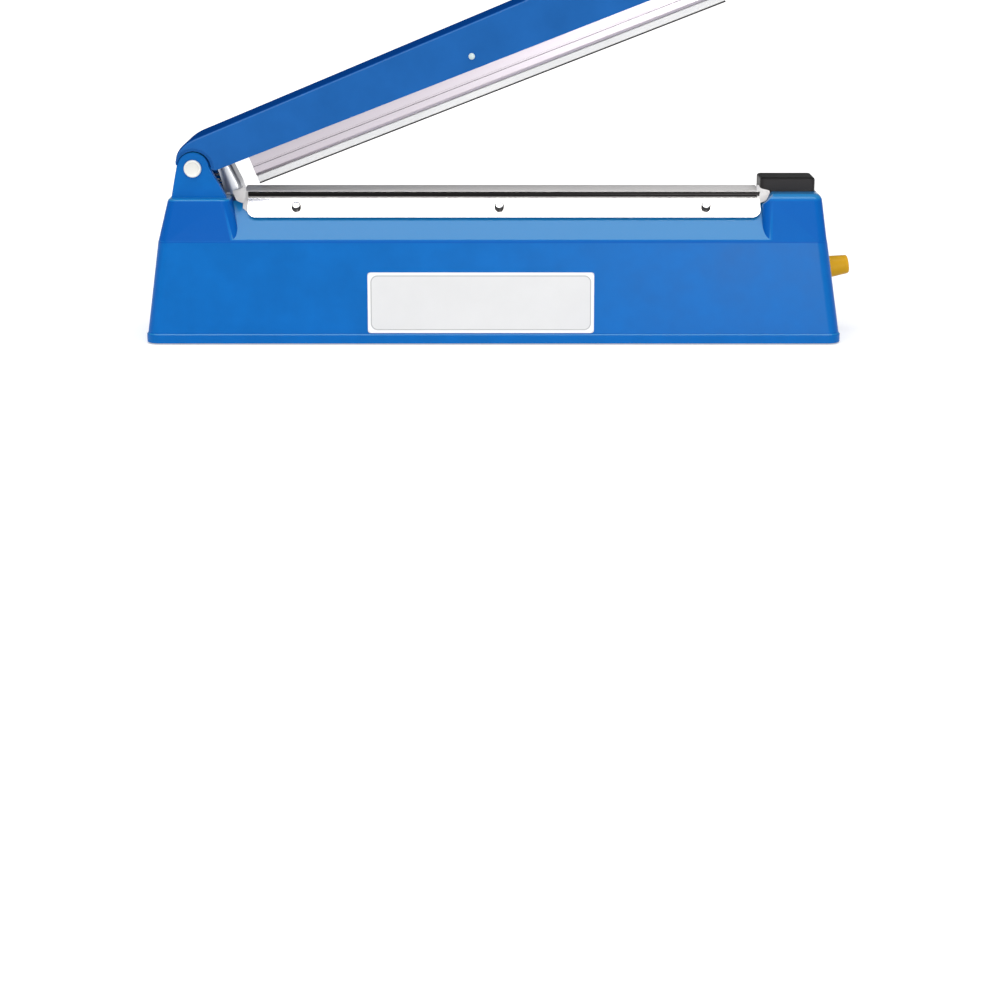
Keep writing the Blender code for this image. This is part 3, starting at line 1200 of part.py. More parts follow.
def build_bracket(axis):
    """Bent bracket riveted across the arm, from which the press bar hangs."""
    half = ARM_HALF - ARM_WALL - FIT
    top = BRACKET_BELOW + BRACKET_SHEET
    inner = half - BRACKET_SHEET
    side = [(half, BRACKET_LEG_FOOT), (half, top)]
    under = [(inner, BRACKET_BELOW), (inner, BRACKET_LEG_FOOT)]
    points = side + [(-y, z) for y, z in reversed(side)]
    points += [(-y, z) for y, z in reversed(under)] + under
    start = BRACKET_MIDDLE - BRACKET_LENGTH / 2
    bracket = outline("bar_bracket", points, 'X', start, start + BRACKET_LENGTH, STEEL, axis)
    for number, x in enumerate(stud_places(), 1):
        drill(bracket, f"stud_hole_{number}", (x, 0, top), (0, 0, 1), STUD_RADIUS + RUNNING_FIT,
              BRACKET_SHEET + OVERRUN, axis)
    for name, sign in (("front", -1), ("back", 1)):
        drill(bracket, "bracket_rivet_hole_" + name, (BRACKET_MIDDLE, sign * half, RIVET_ABOVE_PIN),
              (0, sign, 0), RIVET_RADIUS + FIT, BRACKET_SHEET + OVERRUN, axis)
        inside = ARM_WALL + FIT + BRACKET_SHEET + FIT
        edge = RIVET_HEAD_HEIGHT / 2
        profile = [(0, FIT + RIVET_HEAD_HEIGHT), (RIVET_HEAD_RADIUS - edge, FIT + RIVET_HEAD_HEIGHT),
                   (RIVET_HEAD_RADIUS, FIT + edge), (RIVET_HEAD_RADIUS, FIT), (RIVET_RADIUS, FIT),
                   (RIVET_RADIUS, -inside), (RIVET_HEAD_RADIUS, -inside),
                   (RIVET_HEAD_RADIUS, -inside - edge), (0, -inside - edge)]
        turned("pivot_rivet_" + name, profile, (BRACKET_MIDDLE, sign * ARM_HALF, RIVET_ABOVE_PIN),
               (0, sign, 0), STEEL, axis, steps=SMALL_STEPS)


def build_switch():
    """Button with its stem, spring and ring, and the microswitch with its plunger."""
    start, end = along(BUTTON_START), along(BUTTON_START + BUTTON_LENGTH)
    bottom, top = up(BUTTON_BOTTOM), up(BUTTON_TOP)
    x = along(STEM_FROM_LEFT)
    slide = pivot("switch_button_slide", (x, 0, bottom))
    left, right, height = start - x, end - x, top - bottom
    button = box("switch_button", (left, -BUTTON_HALF, 0), (right, BUTTON_HALF, height), BLACK, slide)
    round_edges(button, lambda a, b: min(a.z, b.z) > height - FIT or abs(a.z - b.z) > height / 3,
                BUTTON_RADIUS, 3)
    cut(button, rod("spring_pocket", (0, 0, -OVERRUN), (0, 0, POCKET_DEPTH), POCKET_RADIUS,
                    parent=slide, tool=True))
    stem_end = up(STEM_END) - bottom
    stem = rod("button_stem", (0, 0, stem_end), (0, 0, POCKET_DEPTH + BUTTON_RADIUS), STEM_RADIUS,
               parent=slide, tool=True)
    join(button, stem)
    ring_top = up(WELL_FLOOR) - WALL - FIT - bottom
    ring_low = ring_top - RING_THICKNESS
    groove_radius = STEM_RADIUS - RING_GROOVE
    groove = turned("ring_groove", ring_profile(groove_radius, STEM_RADIUS + OVERRUN, ring_low - FIT,
                                                ring_top + FIT), (0, 0, 0), (0, 0, 1), parent=slide,
                    tool=True)
    cut(button, groove)
    turned("button_ring", ring_profile(groove_radius + FIT, RING_OUTER, ring_low, ring_top), (0, 0, 0),
           (0, 0, 1), STEEL, slide)
    spring_foot = up(WELL_FLOOR) + FIT
    coil("button_spring", (x, 0, spring_foot), bottom + POCKET_DEPTH - FIT - spring_foot,
         BUTTON_SPRING_MEAN, BUTTON_SPRING_WIRE, BUTTON_SPRING_TURNS)
    build_microswitch(x)


def build_microswitch(x):
    half_length, half_thickness = SWITCH_LENGTH / 2, SWITCH_THICKNESS / 2
    low, top = up(SWITCH_TOP - SWITCH_HEIGHT), up(SWITCH_TOP)
    body = box("microswitch", (x - half_length, -half_thickness, low), (x + half_length, half_thickness, top),
               BLACK)
    drill(body, "plunger_hole", (x, 0, top), (0, 0, 1), PLUNGER_RADIUS + FIT, PLUNGER_DEPTH + BUTTON_TRAVEL)
    lift = up(STEM_END) - FIT
    slide = pivot("switch_plunger_slide", (x, 0, top))
    rod("switch_plunger", (0, 0, -PLUNGER_DEPTH + FIT), (0, 0, lift - top), PLUNGER_RADIUS, CREAM, slide,
        steps=SMALL_STEPS)
    for number, (hole_x, z) in enumerate(switch_peg_places(), 1):
        drill(body, f"switch_body_hole_{number}", (hole_x, -half_thickness, z), (0, -1, 0),
              SWITCH_PEG_RADIUS + FIT, SWITCH_THICKNESS + OVERRUN)


def build_timer():
    """Potentiometer behind the right-hand wall, its nut, and the knob on its shaft."""
    axis = timer_direction()
    wall = timer_wall_point()
    lean = wall_lean_right()
    base = pivot("timer_axis", wall, (0, pi / 2 - lean, 0))
    behind = -WALL - FIT
    body_profile = [(0, TIMER_THREAD_PROUD), (TIMER_THREAD_RADIUS, TIMER_THREAD_PROUD),
                    (TIMER_THREAD_RADIUS, behind), (TIMER_BODY_RADIUS, behind),
                    (TIMER_BODY_RADIUS, behind - TIMER_BODY_LENGTH), (0, behind - TIMER_BODY_LENGTH)]
    body = turned("timer_potentiometer", body_profile, (0, 0, 0), (0, 0, 1), STEEL, base)
    cut(body, rod("shaft_bore", (0, 0, -SHAFT_INSIDE), (0, 0, TIMER_THREAD_PROUD + OVERRUN),
                  SHAFT_RADIUS + FIT, parent=base, tool=True))
    nut = rod("timer_nut", (0, 0, FIT), (0, 0, FIT + NUT_THICKNESS), NUT_RADIUS, STEEL, base, steps=6)
    cut(nut, rod("nut_bore", (0, 0, -OVERRUN), (0, 0, NUT_THICKNESS + OVERRUN),
                 TIMER_THREAD_RADIUS + FIT, parent=base, tool=True))
    foot = RUNNING_FIT
    bore = SHAFT_RADIUS + FIT
    knob_profile = [(0, foot + KNOB_LENGTH), (KNOB_TIP_RADIUS - KNOB_EDGE, foot + KNOB_LENGTH),
                    (KNOB_TIP_RADIUS, foot + KNOB_LENGTH - KNOB_EDGE), (KNOB_RADIUS, foot),
                    (KNOB_RECESS_RADIUS, foot), (KNOB_RECESS_RADIUS, foot + KNOB_RECESS_DEPTH),
                    (bore, foot + KNOB_RECESS_DEPTH), (bore, foot + KNOB_BORE_DEPTH),
                    (0, foot + KNOB_BORE_DEPTH)]
    turned("timer_knob", knob_profile, (0, 0, 0), (0, 0, 1), YELLOW, base)
    rod("timer_shaft", (0, 0, -SHAFT_INSIDE + FIT), (0, 0, foot + KNOB_BORE_DEPTH - FIT), SHAFT_RADIUS,
        STEEL, base)
    print(f"timer axis {tuple(round(v, 5) for v in axis)} through {tuple(round(v, 5) for v in wall)}")


def build_transformer():
    """Laminated core, its winding and the strap that holds it to the bottom plate."""
    x = along(TRANSFORMER_FROM_LEFT)
    low = plate_top() + FIT
    high = low + CORE_HEIGHT
    half_length, half_depth = CORE_LENGTH / 2, CORE_DEPTH / 2
    core = box("transformer_core", (x - half_length, -half_depth, low), (x + half_length, half_depth, high),
               STEEL)
    centre_leg = CORE_LEG
    window_low, window_high = low + CORE_LEG, high - CORE_LEG
    for name, side in (("left", -1), ("right", 1)):
        near, far = sorted((x + side * centre_leg, x + side * (half_length - CORE_LEG)))
        cut(core, box("core_window_" + name, (near, -half_depth - OVERRUN, window_low),
                      (far, half_depth + OVERRUN, window_high), tool=True))
    reach = half_length - CORE_LEG - COIL_GAP
    thickness = reach - centre_leg - COIL_GAP
    coil_body = box("transformer_winding", (x - reach, -half_depth - thickness, window_low + COIL_GAP),
                    (x + reach, half_depth + thickness, window_high - COIL_GAP), COPPER)
    cut(coil_body, box("winding_bore", (x - centre_leg - COIL_GAP, -half_depth - COIL_GAP, low),
                       (x + centre_leg + COIL_GAP, half_depth + COIL_GAP, high), tool=True))
    soften(coil_body, COIL_GAP * 2, 2)
    build_strap(x, half_length, low, high)


def build_strap(x, half_length, low, high):
    """A bent strap over the core, spot-welded to the bottom plate at both feet."""
    inner = half_length + FIT
    outer = inner + STRAP_SHEET
    side = [(outer + STRAP_FOOT, low), (outer + STRAP_FOOT, low + STRAP_SHEET), (outer, low + STRAP_SHEET),
            (outer, high + FIT + STRAP_SHEET)]
    under = [(inner, low), (inner, high + FIT)]
    points = [(x + u, z) for u, z in side] + [(x - u, z) for u, z in reversed(side)]
    points += [(x - u, z) for u, z in under] + [(x + u, z) for u, z in reversed(under)]
    outline("transformer_strap", points, 'Y', -STRAP_WIDTH / 2, STRAP_WIDTH / 2, STEEL)


def build_board():
    """Control board with its relay, capacitors and heat sink."""
    x = along(BOARD_FROM_LEFT)
    low = up(BOARD_HEIGHT)
    top = low + BOARD_THICKNESS
    board = box("control_board", (x - BOARD_LENGTH / 2, -BOARD_WIDTH / 2, low),
                (x + BOARD_LENGTH / 2, BOARD_WIDTH / 2, top), BOARD_GREEN)
    length, width, height = RELAY_SIZE
    relay_x = x - BOARD_LENGTH / 4
    join(board, box("relay", (relay_x - length / 2, -width / 2, top - PART_SINK),
                    (relay_x + length / 2, width / 2, top + height), tool=True))
    for number, sign in enumerate((-1, 1), 1):
        y = sign * BOARD_WIDTH / 4
        join(board, rod(f"capacitor_{number}", (x + BOARD_LENGTH / 6, y, top - PART_SINK),
                        (x + BOARD_LENGTH / 6, y, top + CAPACITOR_HEIGHT), CAPACITOR_RADIUS, tool=True,
                        steps=SMALL_STEPS))
    length, width, height = HEAT_SINK_SIZE
    sink_x = x + BOARD_LENGTH / 3
    join(board, box("heat_sink", (sink_x, -width / 2, top - PART_SINK),
                    (sink_x + length, width / 2, top + height), tool=True))


def build_gland():
    """Gland in the back wall that a mains lead would come out of."""
    lean = front_lean()
    inside = WALL + GLAND_INSIDE
    profile = [(GLAND_BORE, GLAND_FLANGE + FIT), (GLAND_FLANGE_RADIUS - GLAND_FLANGE / 2, GLAND_FLANGE + FIT),
               (GLAND_FLANGE_RADIUS, FIT + GLAND_FLANGE / 2), (GLAND_FLANGE_RADIUS, FIT),
               (GLAND_RADIUS, FIT), (GLAND_RADIUS, -inside), (GLAND_BORE, -inside),
               (GLAND_BORE, GLAND_FLANGE + FIT)]
    turned("cord_gland", profile, gland_point(), (0, cos(lean), sin(lean)), RUBBER)


def build_label():
    """Bare front label that lies on the leaning front wall."""
    lean = front_lean()
    middle = LABEL_BOTTOM + LABEL_WIDTH / 2
    y = BASE_DEPTH / 2 - SKIRT_PROUD - (middle - SKIRT_HEIGHT) * tan(lean)
    off = FIT + LABEL_THICKNESS / 2
    half_length, half_width = LABEL_LENGTH / 2, LABEL_WIDTH / 2
    label = box("front_label", (-half_length, -LABEL_THICKNESS / 2, -half_width),
                (half_length, LABEL_THICKNESS / 2, half_width), LABEL)
    label.location = (along(LABEL_MIDDLE_SHARE * BASE_LENGTH), -y - off * cos(lean), up(middle) + off * sin(lean))
    label.rotation_euler = (-lean, 0, 0)
    round_edges(label, lambda a, b: abs(a.y - b.y) > LABEL_THICKNESS / 2, LABEL_CORNER, 2)


def main():
    build_base()
    build_bottom()
    build_bed()
    build_hinge()
    build_guard()
    arm_axis = pivot("arm_hinge_axis", (along(PIN_FROM_LEFT), 0, up(PIN_HEIGHT)), (0, -ARM_OPEN, 0))
    build_arm(arm_axis)
    build_press_bar(arm_axis)
    build_bracket(arm_axis)
    build_switch()
    build_timer()
    build_transformer()
    build_board()
    build_gland()
    build_label()
    print(f"base left end {BASE_LEFT:.5f}, nodes {len([o for o in PARTS.objects if o.type != 'EMPTY'])}")


main()
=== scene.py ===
"""Hand impulse sealer: its looks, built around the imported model.

Metres, +Z up. Places along the base are measured from its left end and heights from its rim.
Places on the arm are measured from the hinge pin, X along the arm and Z square to it.
"""
import json
from math import asin, atan2, cos, pi, radians, sin, tan

import bmesh
import bpy
from mathutils import Matrix, Vector


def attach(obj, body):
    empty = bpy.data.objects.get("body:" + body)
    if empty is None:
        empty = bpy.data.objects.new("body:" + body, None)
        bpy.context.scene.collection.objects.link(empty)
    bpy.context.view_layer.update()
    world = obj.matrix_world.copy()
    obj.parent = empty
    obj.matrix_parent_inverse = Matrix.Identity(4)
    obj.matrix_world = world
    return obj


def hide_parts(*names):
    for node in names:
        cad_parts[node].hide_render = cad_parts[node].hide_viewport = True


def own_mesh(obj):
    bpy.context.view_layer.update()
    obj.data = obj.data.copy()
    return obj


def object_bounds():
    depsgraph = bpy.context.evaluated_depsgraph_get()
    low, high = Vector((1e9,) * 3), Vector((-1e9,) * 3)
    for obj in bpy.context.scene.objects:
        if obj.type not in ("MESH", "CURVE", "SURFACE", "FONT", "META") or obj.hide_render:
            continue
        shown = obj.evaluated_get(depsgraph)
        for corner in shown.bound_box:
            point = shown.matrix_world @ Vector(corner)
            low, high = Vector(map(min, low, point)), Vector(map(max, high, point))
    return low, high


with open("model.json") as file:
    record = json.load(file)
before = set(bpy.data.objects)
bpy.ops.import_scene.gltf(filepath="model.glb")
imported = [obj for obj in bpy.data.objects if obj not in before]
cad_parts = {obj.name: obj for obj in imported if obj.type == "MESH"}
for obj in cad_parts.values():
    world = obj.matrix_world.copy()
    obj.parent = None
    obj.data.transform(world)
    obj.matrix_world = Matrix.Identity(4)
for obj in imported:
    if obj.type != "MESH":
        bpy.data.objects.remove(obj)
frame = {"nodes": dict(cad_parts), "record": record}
CAD_LOW, CAD_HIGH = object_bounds()
MM = 0.001

# Where the base and the arm stand in the frame
BASE_LEFT = CAD_LOW.x
RIM = 0.8 * MM
PIN_X = BASE_LEFT + 29.7 * MM
PIN_Z = RIM + 103 * MM
ARM_OPEN = radians(21.1)
ARM_FRAME = Matrix.Translation((PIN_X, 0, PIN_Z)) @ Matrix.Rotation(-ARM_OPEN, 4, 'Y')

# Base housing
BASE_LENGTH = 420 * MM
BASE_HALF = 40 * MM
SKIRT_HEIGHT = 5.8 * MM
SKIRT_PROUD = 0.8 * MM
SHOULDER_HEIGHT = 61.4 * MM
SHOULDER_LEFT = 8.5 * MM
SHOULDER_RIGHT = 9.3 * MM
SHOULDER_HALF = 34.5 * MM
PLATEAU_HEIGHT = 82.75 * MM
PLATEAU_HALF = 14.4 * MM
CORNER = 8 * MM
WALL = 2.5 * MM
TOWER_CORNER = 6 * MM
HINGE_TOWER_TOP = 85.6 * MM
HINGE_TOWER_ROUND = 1.6 * MM
SWITCH_TOWER_TOP = 88 * MM
SWITCH_TOWER_ROUND = 4 * MM
SWITCH_TOWER_BEVEL = 6.2 * MM
WELL_FLOOR = 86.2 * MM
FRONT_LEAN = atan2(BASE_HALF - SHOULDER_HALF - SKIRT_PROUD, SHOULDER_HEIGHT - SKIRT_HEIGHT)
RIGHT_LEAN = atan2(SHOULDER_RIGHT - SKIRT_PROUD, SHOULDER_HEIGHT - SKIRT_HEIGHT)
SLOPE = atan2(PLATEAU_HEIGHT - SHOULDER_HEIGHT, SHOULDER_HALF - PLATEAU_HALF)

# Hinge
EAR_FACE = 20.8 * MM
EAR_THICKNESS = 4.5 * MM
EAR_RADIUS = 9.8 * MM
PIN_RADIUS = 3 * MM

# Bed, cloth and clip plates
BED_START = 58.8 * MM
BED_END = 370.8 * MM
BED_HALF = 12.7 * MM
BED_TOP = 86.6 * MM
CLOTH_THICKNESS = 0.3 * MM
PLATE_START = 61.8 * MM
PLATE_THICKNESS = 0.9 * MM
PLATE_REACH = 15.9 * MM
SCREW_SHARES = (0.095, 0.491, 0.894)
SCREW_REACH = 23.42 * MM
LIP_TOP = RIM + 88.3 * MM
CLIP_SCREW = (2.9, 1.9, 1.4, 6)
SMALL_SCREW = (2.2, 1.4, 1.1, 5)
FOOT_SCREW = (3.2, 1.8, 1.7, 13)
FIT = 0.3 * MM

# Arm and handle
ARM_LENGTH = 369 * MM
ARM_HALF = 23.4 * MM
ARM_WALL = 2.2 * MM
ARM_BELOW = 5.8 * MM
ARM_RISE = 16.6 * MM
ARM_REAR = 12 * MM
ARM_REAR_REACH = 21 * MM
ARM_REAR_POWER = 2 / 2.5
ARM_REAR_END = 5.5 * MM
ARM_TAPER = radians(1.3)
ARM_NOSE = 30 * MM
ARM_NOSE_RISE = 3 * MM
GRIP_LENGTH = 73.5 * MM
GRIP_WALL = 2.3 * MM
GRIP_LIP = 7.5 * MM
GRIP_REAR = ARM_LENGTH + FIT + GRIP_WALL / 2 - GRIP_LENGTH
GRIP_SCREW_SHARES = (0.2, 0.6)

# Press bar, from the pin line
BAR_REAR = 32 * MM
BAR_LENGTH = 300 * MM
BRACKET_MIDDLE = 0.4885 * ARM_LENGTH
BAR_FRAME = ARM_FRAME @ Matrix.Translation((BAR_REAR, 0, -6.2 * MM))

# Button and label
BUTTON_START = 371.4 * MM
BUTTON_END = 404.5 * MM
BUTTON_BOTTOM = 87.8 * MM
BUTTON_TOP = 96.3 * MM
STEM_FROM_LEFT = 391 * MM
LABEL_HALF = 68.1 * MM
LABEL_LOW = 6.3 * MM
LABEL_HIGH = 42.8 * MM
LABEL_THICKNESS = 0.35 * MM
LABEL_CORNER = 1.6 * MM


# From the front shoulder: X, up the slope, and off it
SLOPE_FRAME = Matrix.Translation((0, -SHOULDER_HALF, RIM + SHOULDER_HEIGHT)) @ Matrix.Rotation(SLOPE, 4, 'X')


def along(distance):
    """X of a place this far from the base's left end."""
    return BASE_LEFT + distance


def up(height):
    """Z of a place this far above the base's rim."""
    return RIM + height


def slope_point(reach, lift):
    """Half depth and Z of a point this far up the shoulder slope and this far off it."""
    half = SHOULDER_HALF + sin(SLOPE) * lift - cos(SLOPE) * reach
    return half, up(SHOULDER_HEIGHT) + cos(SLOPE) * lift + sin(SLOPE) * reach


def slope_reach(half, lift):
    """How far up the slope, this far off it, the surface comes to a half depth."""
    return (SHOULDER_HALF + sin(SLOPE) * lift - half) / cos(SLOPE)


def arm_top(x):
    return ARM_RISE + (x - ARM_REAR) * tan(ARM_TAPER)


# Shapes


def mesh_of(name, bm):
    bmesh.ops.recalc_face_normals(bm, faces=bm.faces)
    mesh = bpy.data.meshes.new(name)
    bm.to_mesh(mesh)
    bm.free()
    return mesh


def hold(mesh, name, matrix=None):
    """Put a mesh into the scene."""
    made = bpy.data.objects.new(name, mesh)
    bpy.context.scene.collection.objects.link(made)
    if matrix is not None:
        made.matrix_world = matrix
    return made


def arc(centre, radius, start, end, steps):
    """Points on an arc, in degrees."""
    sweep = [radians(start + (end - start) * i / steps) for i in range(steps + 1)]
    return [(centre[0] + radius * cos(a), centre[1] + radius * sin(a)) for a in sweep]


def eased(points, sizes, steps, closed=True):
    """A line of points, each turned into a round that starts this size before and after it."""
    count = len(points)
    rows = []
    for i, (point, size) in enumerate(zip(points, sizes)):
        point = Vector(point)
        if not size or not closed and i in (0, count - 1):
            rows.append(tuple(point))
            continue
        before = Vector(points[i - 1]) - point
        after = Vector(points[(i + 1) % count]) - point
        start = point + before * min(size / before.length, 0.49)
        end = point + after * min(size / after.length, 0.49)
        for step in range(steps + 1):
            t = step / steps
            rows.append(tuple(start * (1 - t) ** 2 + point * (2 * t * (1 - t)) + end * t * t))
    return rows


def level_ring(z, left, right, half, radius, steps=8):
    """A level rounded rectangle."""
    radius = max(radius, 0.2 * MM)
    points = []
    for x, y, quarter in ((right, half, 0), (left, half, 1), (left, -half, 2), (right, -half, 3)):
        centre_x = x + (radius if x == left else -radius)
        centre_y = y + (radius if y < 0 else -radius)
        points += [(u, v, z) for u, v in arc((centre_x, centre_y), radius, quarter * 90,
                                             quarter * 90 + 90, steps)]
    return points


def skinned(name, rings, matrix=None):
    """A solid skinned over rings that all have as many points."""
    bm = bmesh.new()
    rows = [[bm.verts.new(point) for point in ring] for ring in rings]
    count = len(rows[0])
    for lower, upper in zip(rows, rows[1:]):
        for i in range(count):
            j = (i + 1) % count
            bm.faces.new((lower[i], lower[j], upper[j], upper[i]))
    bm.faces.new(rows[0])
    bm.faces.new(rows[-1])
    return hold(mesh_of(name, bm), name, matrix)


def pulled(name, points, axis, start, end, matrix=None):
    """A flat outline pulled from start to end: along Y it holds (X, Z), and along X it holds (Y, Z)."""
    place = (lambda u, v, w: (u, w, v)) if axis == 'Y' else (lambda u, v, w: (w, u, v))
    return skinned(name, [[place(u, v, w) for u, v in points] for w in (start, end)], matrix)


def lathed(name, profile, steps=48, matrix=None):
    """A turned piece about its own Z: (radius, height) points, where a radius of 0 closes it."""
    bm = bmesh.new()
    rows = []
    for radius, height in profile:
        if radius == 0:
            rows.append([bm.verts.new((0, 0, height))])
        else:
            rows.append([bm.verts.new((radius * cos(2 * pi * i / steps),
                                       radius * sin(2 * pi * i / steps), height)) for i in range(steps)])
    for lower, upper in zip(rows, rows[1:]):
        for i in range(steps):
            j = (i + 1) % steps
            corners = [lower[i % len(lower)], lower[j % len(lower)], upper[j % len(upper)],
                       upper[i % len(upper)]]
            corners = list(dict.fromkeys(corners))
            if len(corners) > 2:
                bm.faces.new(corners)
    if len(rows[0]) > 1 and profile[0] == profile[-1]:
        bmesh.ops.remove_doubles(bm, verts=rows[0] + rows[-1], dist=MM / 10000)
    return hold(mesh_of(name, bm), name, matrix)


def block(name, low, high, matrix=None):
    """A block between two corners, as a tool or the start of a shape."""
    points = [(low[0], low[1]), (high[0], low[1]), (high[0], high[1]), (low[0], high[1])]
    return skinned(name, [[(x, y, z) for x, y in points] for z in (low[2], high[2])], matrix)


def pin(name, start, end, radius, steps=32, tip=None, matrix=None):
    """A round bar or cone between two points."""
    start, end = Vector(start), Vector(end)
    tip = radius if tip is None else tip
    length = (end - start).length
    made = lathed(name, [(0, 0), (radius, 0), (tip, length), (0, length)], steps)
    turn = Vector((0, 0, 1)).rotation_difference(end - start).to_matrix().to_4x4()
    made.data.transform(Matrix.Translation(start) @ turn)
    if matrix is not None:
        made.matrix_world = matrix
    return made


def facing(place, direction):
    """The frame of a piece whose Z points in a direction."""
    turn = Vector((0, 0, 1)).rotation_difference(Vector(direction)).to_matrix().to_4x4()
    return Matrix.Translation(place) @ turn


def settle(made):
    """Turn a piece's modifiers into its plain mesh."""
    bpy.context.view_layer.update()
    seen = made.evaluated_get(bpy.context.evaluated_depsgraph_get())
    mesh = bpy.data.meshes.new_from_object(seen)
    made.modifiers.clear()
    made.data = mesh
    return made


def combine(made, tools, operation):
    """Cut tools from a piece, or join them to it."""
    for tool in tools:
        change = made.modifiers.new(operation.lower(), 'BOOLEAN')
        change.operation = operation
        change.solver = 'EXACT'
        change.object = tool
    settle(made)
    for tool in tools:
        bpy.data.objects.remove(tool)
    return made


def cut(made, *tools):
    return combine(made, tools, 'DIFFERENCE')


def join(made, *tools):
    return combine(made, tools, 'UNION')


def one_tool(name, tools):
    """Several tools that don't touch, as one."""
    bm = bmesh.new()
    for tool in tools:
        mesh = tool.data.copy()
        mesh.transform(tool.matrix_world)
        bm.from_mesh(mesh)
        bpy.data.meshes.remove(mesh)
        bpy.data.objects.remove(tool)
    return hold(mesh_of(name, bm), name)


def round_off(made, width, segments=3, angle=30, chosen=None, miter='MITER_ARC'):
    """Round the edges sharper than an angle, or those that chosen(first end, second end) picks."""
    bevel = made.modifiers.new("round", 'BEVEL')
    bevel.width = width
    bevel.segments = segments
    bevel.miter_outer = miter
    if chosen is None:
        bevel.limit_method = 'ANGLE'
        bevel.angle_limit = radians(angle)
    else:
        bevel.limit_method = 'WEIGHT'
        bevel.use_clamp_overlap = False
        bm = bmesh.new()
        bm.from_mesh(made.data)
        weights = bm.edges.layers.float.new("bevel_weight_edge")
        for edge in bm.edges:
            if chosen(edge.verts[0].co, edge.verts[1].co):
                edge[weights] = 1
        bm.to_mesh(made.data)
        bm.free()
    return settle(made)


def dress(made, material, body, slot, *nodes, angle=32):
    """Finish a piece: material, smooth shading, the body it rides on and the nodes it stands for."""
    made.data.materials.clear()
    made.data.materials.append(material)
    made.data.shade_smooth()
    made.data.set_sharp_from_angle(angle=radians(angle))
    made.modifiers.new("even", 'WEIGHTED_NORMAL').keep_sharp = True
    settle(made)
    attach(made, body)
    if nodes:
        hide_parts(*nodes)
    return made


# Materials


def lay(tree, kind, settings=None, **inputs):
    """Add a node. Inputs are values or sockets, named in lower case with underscores."""
    node = tree.nodes.new(kind)
    for key, value in (settings or {}).items():
        setattr(node, key, value)
    named = {socket.name.lower().replace(" ", "_"): socket for socket in reversed(node.inputs)
             if socket.enabled}
    for key, value in inputs.items():
        socket = named[key]
        if isinstance(value, bpy.types.NodeSocket):
            tree.links.new(value, socket)
        else:
            socket.default_value = value
    return node


def reckon(tree, operation, *values, clamp=False):
    """A Math node's result."""
    node = tree.nodes.new("ShaderNodeMath")
    node.operation = operation
    node.use_clamp = clamp
    for socket, value in zip(node.inputs, values):
        if isinstance(value, bpy.types.NodeSocket):
            tree.links.new(value, socket)
        else:
            socket.default_value = value
    return node.outputs[0]


def stretch(tree, value, low, high, to_low=0.0, to_high=1.0):
    """A value carried from one range to another, held at both ends."""
    return lay(tree, "ShaderNodeMapRange", value=value, from_min=low, from_max=high, to_min=to_low,
               to_max=to_high).outputs[0]


def shade(tree, factor, first, second, blend='MIX'):
    """A mix of two colours."""
    node = tree.nodes.new("ShaderNodeMix")
    node.data_type = 'RGBA'
    node.blend_type = blend
    for socket, value in zip((node.inputs[0], node.inputs[6], node.inputs[7]), (factor, first, second)):
        if isinstance(value, bpy.types.NodeSocket):
            tree.links.new(value, socket)
        elif hasattr(value, "__len__"):
            socket.default_value = (*value, 1)
        else:
            socket.default_value = value
    return node.outputs[2]


def effect(name, inputs, outputs):
    """An empty node group with its sockets; returns its tree, its input node and its output node."""
    tree = bpy.data.node_groups.new(name, 'ShaderNodeTree')
    for label, value in inputs.items():
        kind = 'NodeSocketVector' if value is None else 'NodeSocketFloat'
        socket = tree.interface.new_socket(label, in_out='INPUT', socket_type=kind)
        if value is not None:
            socket.default_value = value
    for label in outputs:
        tree.interface.new_socket(label, in_out='OUTPUT', socket_type='NodeSocketFloat')
    return tree, tree.nodes.new("NodeGroupInput"), tree.nodes.new("NodeGroupOutput")


def moulded_grain():
    """Fine moulded grain, and a broad unevenness of the surface."""
    tree, given, result = effect("moulded grain", {
        "Vector": None, "Grain size": 0.4 * MM, "Patch size": 25 * MM}, ("Height", "Unevenness"))
    fine = lay(tree, "ShaderNodeTexNoise", vector=given.outputs["Vector"],
               scale=reckon(tree, 'DIVIDE', 1, given.outputs["Grain size"]), detail=3, roughness=0.6)
    broad = lay(tree, "ShaderNodeTexNoise", vector=given.outputs["Vector"],
                scale=reckon(tree, 'DIVIDE', 1, given.outputs["Patch size"]), detail=4, roughness=0.55)
    tree.links.new(fine.outputs[0], result.inputs["Height"])
    tree.links.new(broad.outputs[0], result.inputs["Unevenness"])
    return tree


def worn_edges():
    """A broken mask along sharp edges."""
    tree, given, result = effect("worn edges", {
        "Vector": None, "Width": 0.4 * MM, "Break size": 3 * MM}, ("Mask",))
    rounded = lay(tree, "ShaderNodeBevel", {"samples": 4}, radius=given.outputs["Width"])
    flat = lay(tree, "ShaderNodeNewGeometry")
    dot = lay(tree, "ShaderNodeVectorMath", {"operation": 'DOT_PRODUCT'})
    tree.links.new(rounded.outputs[0], dot.inputs[0])
    tree.links.new(flat.outputs["Normal"], dot.inputs[1])
    edge = stretch(tree, dot.outputs["Value"], 0.995, 0.9)
    breaks = lay(tree, "ShaderNodeTexNoise", vector=given.outputs["Vector"],
                 scale=reckon(tree, 'DIVIDE', 1, given.outputs["Break size"]), detail=5, roughness=0.65)
    mask = reckon(tree, 'MULTIPLY', edge, stretch(tree, breaks.outputs[0], 0.4, 0.65))
    tree.links.new(mask, result.inputs["Mask"])
    return tree


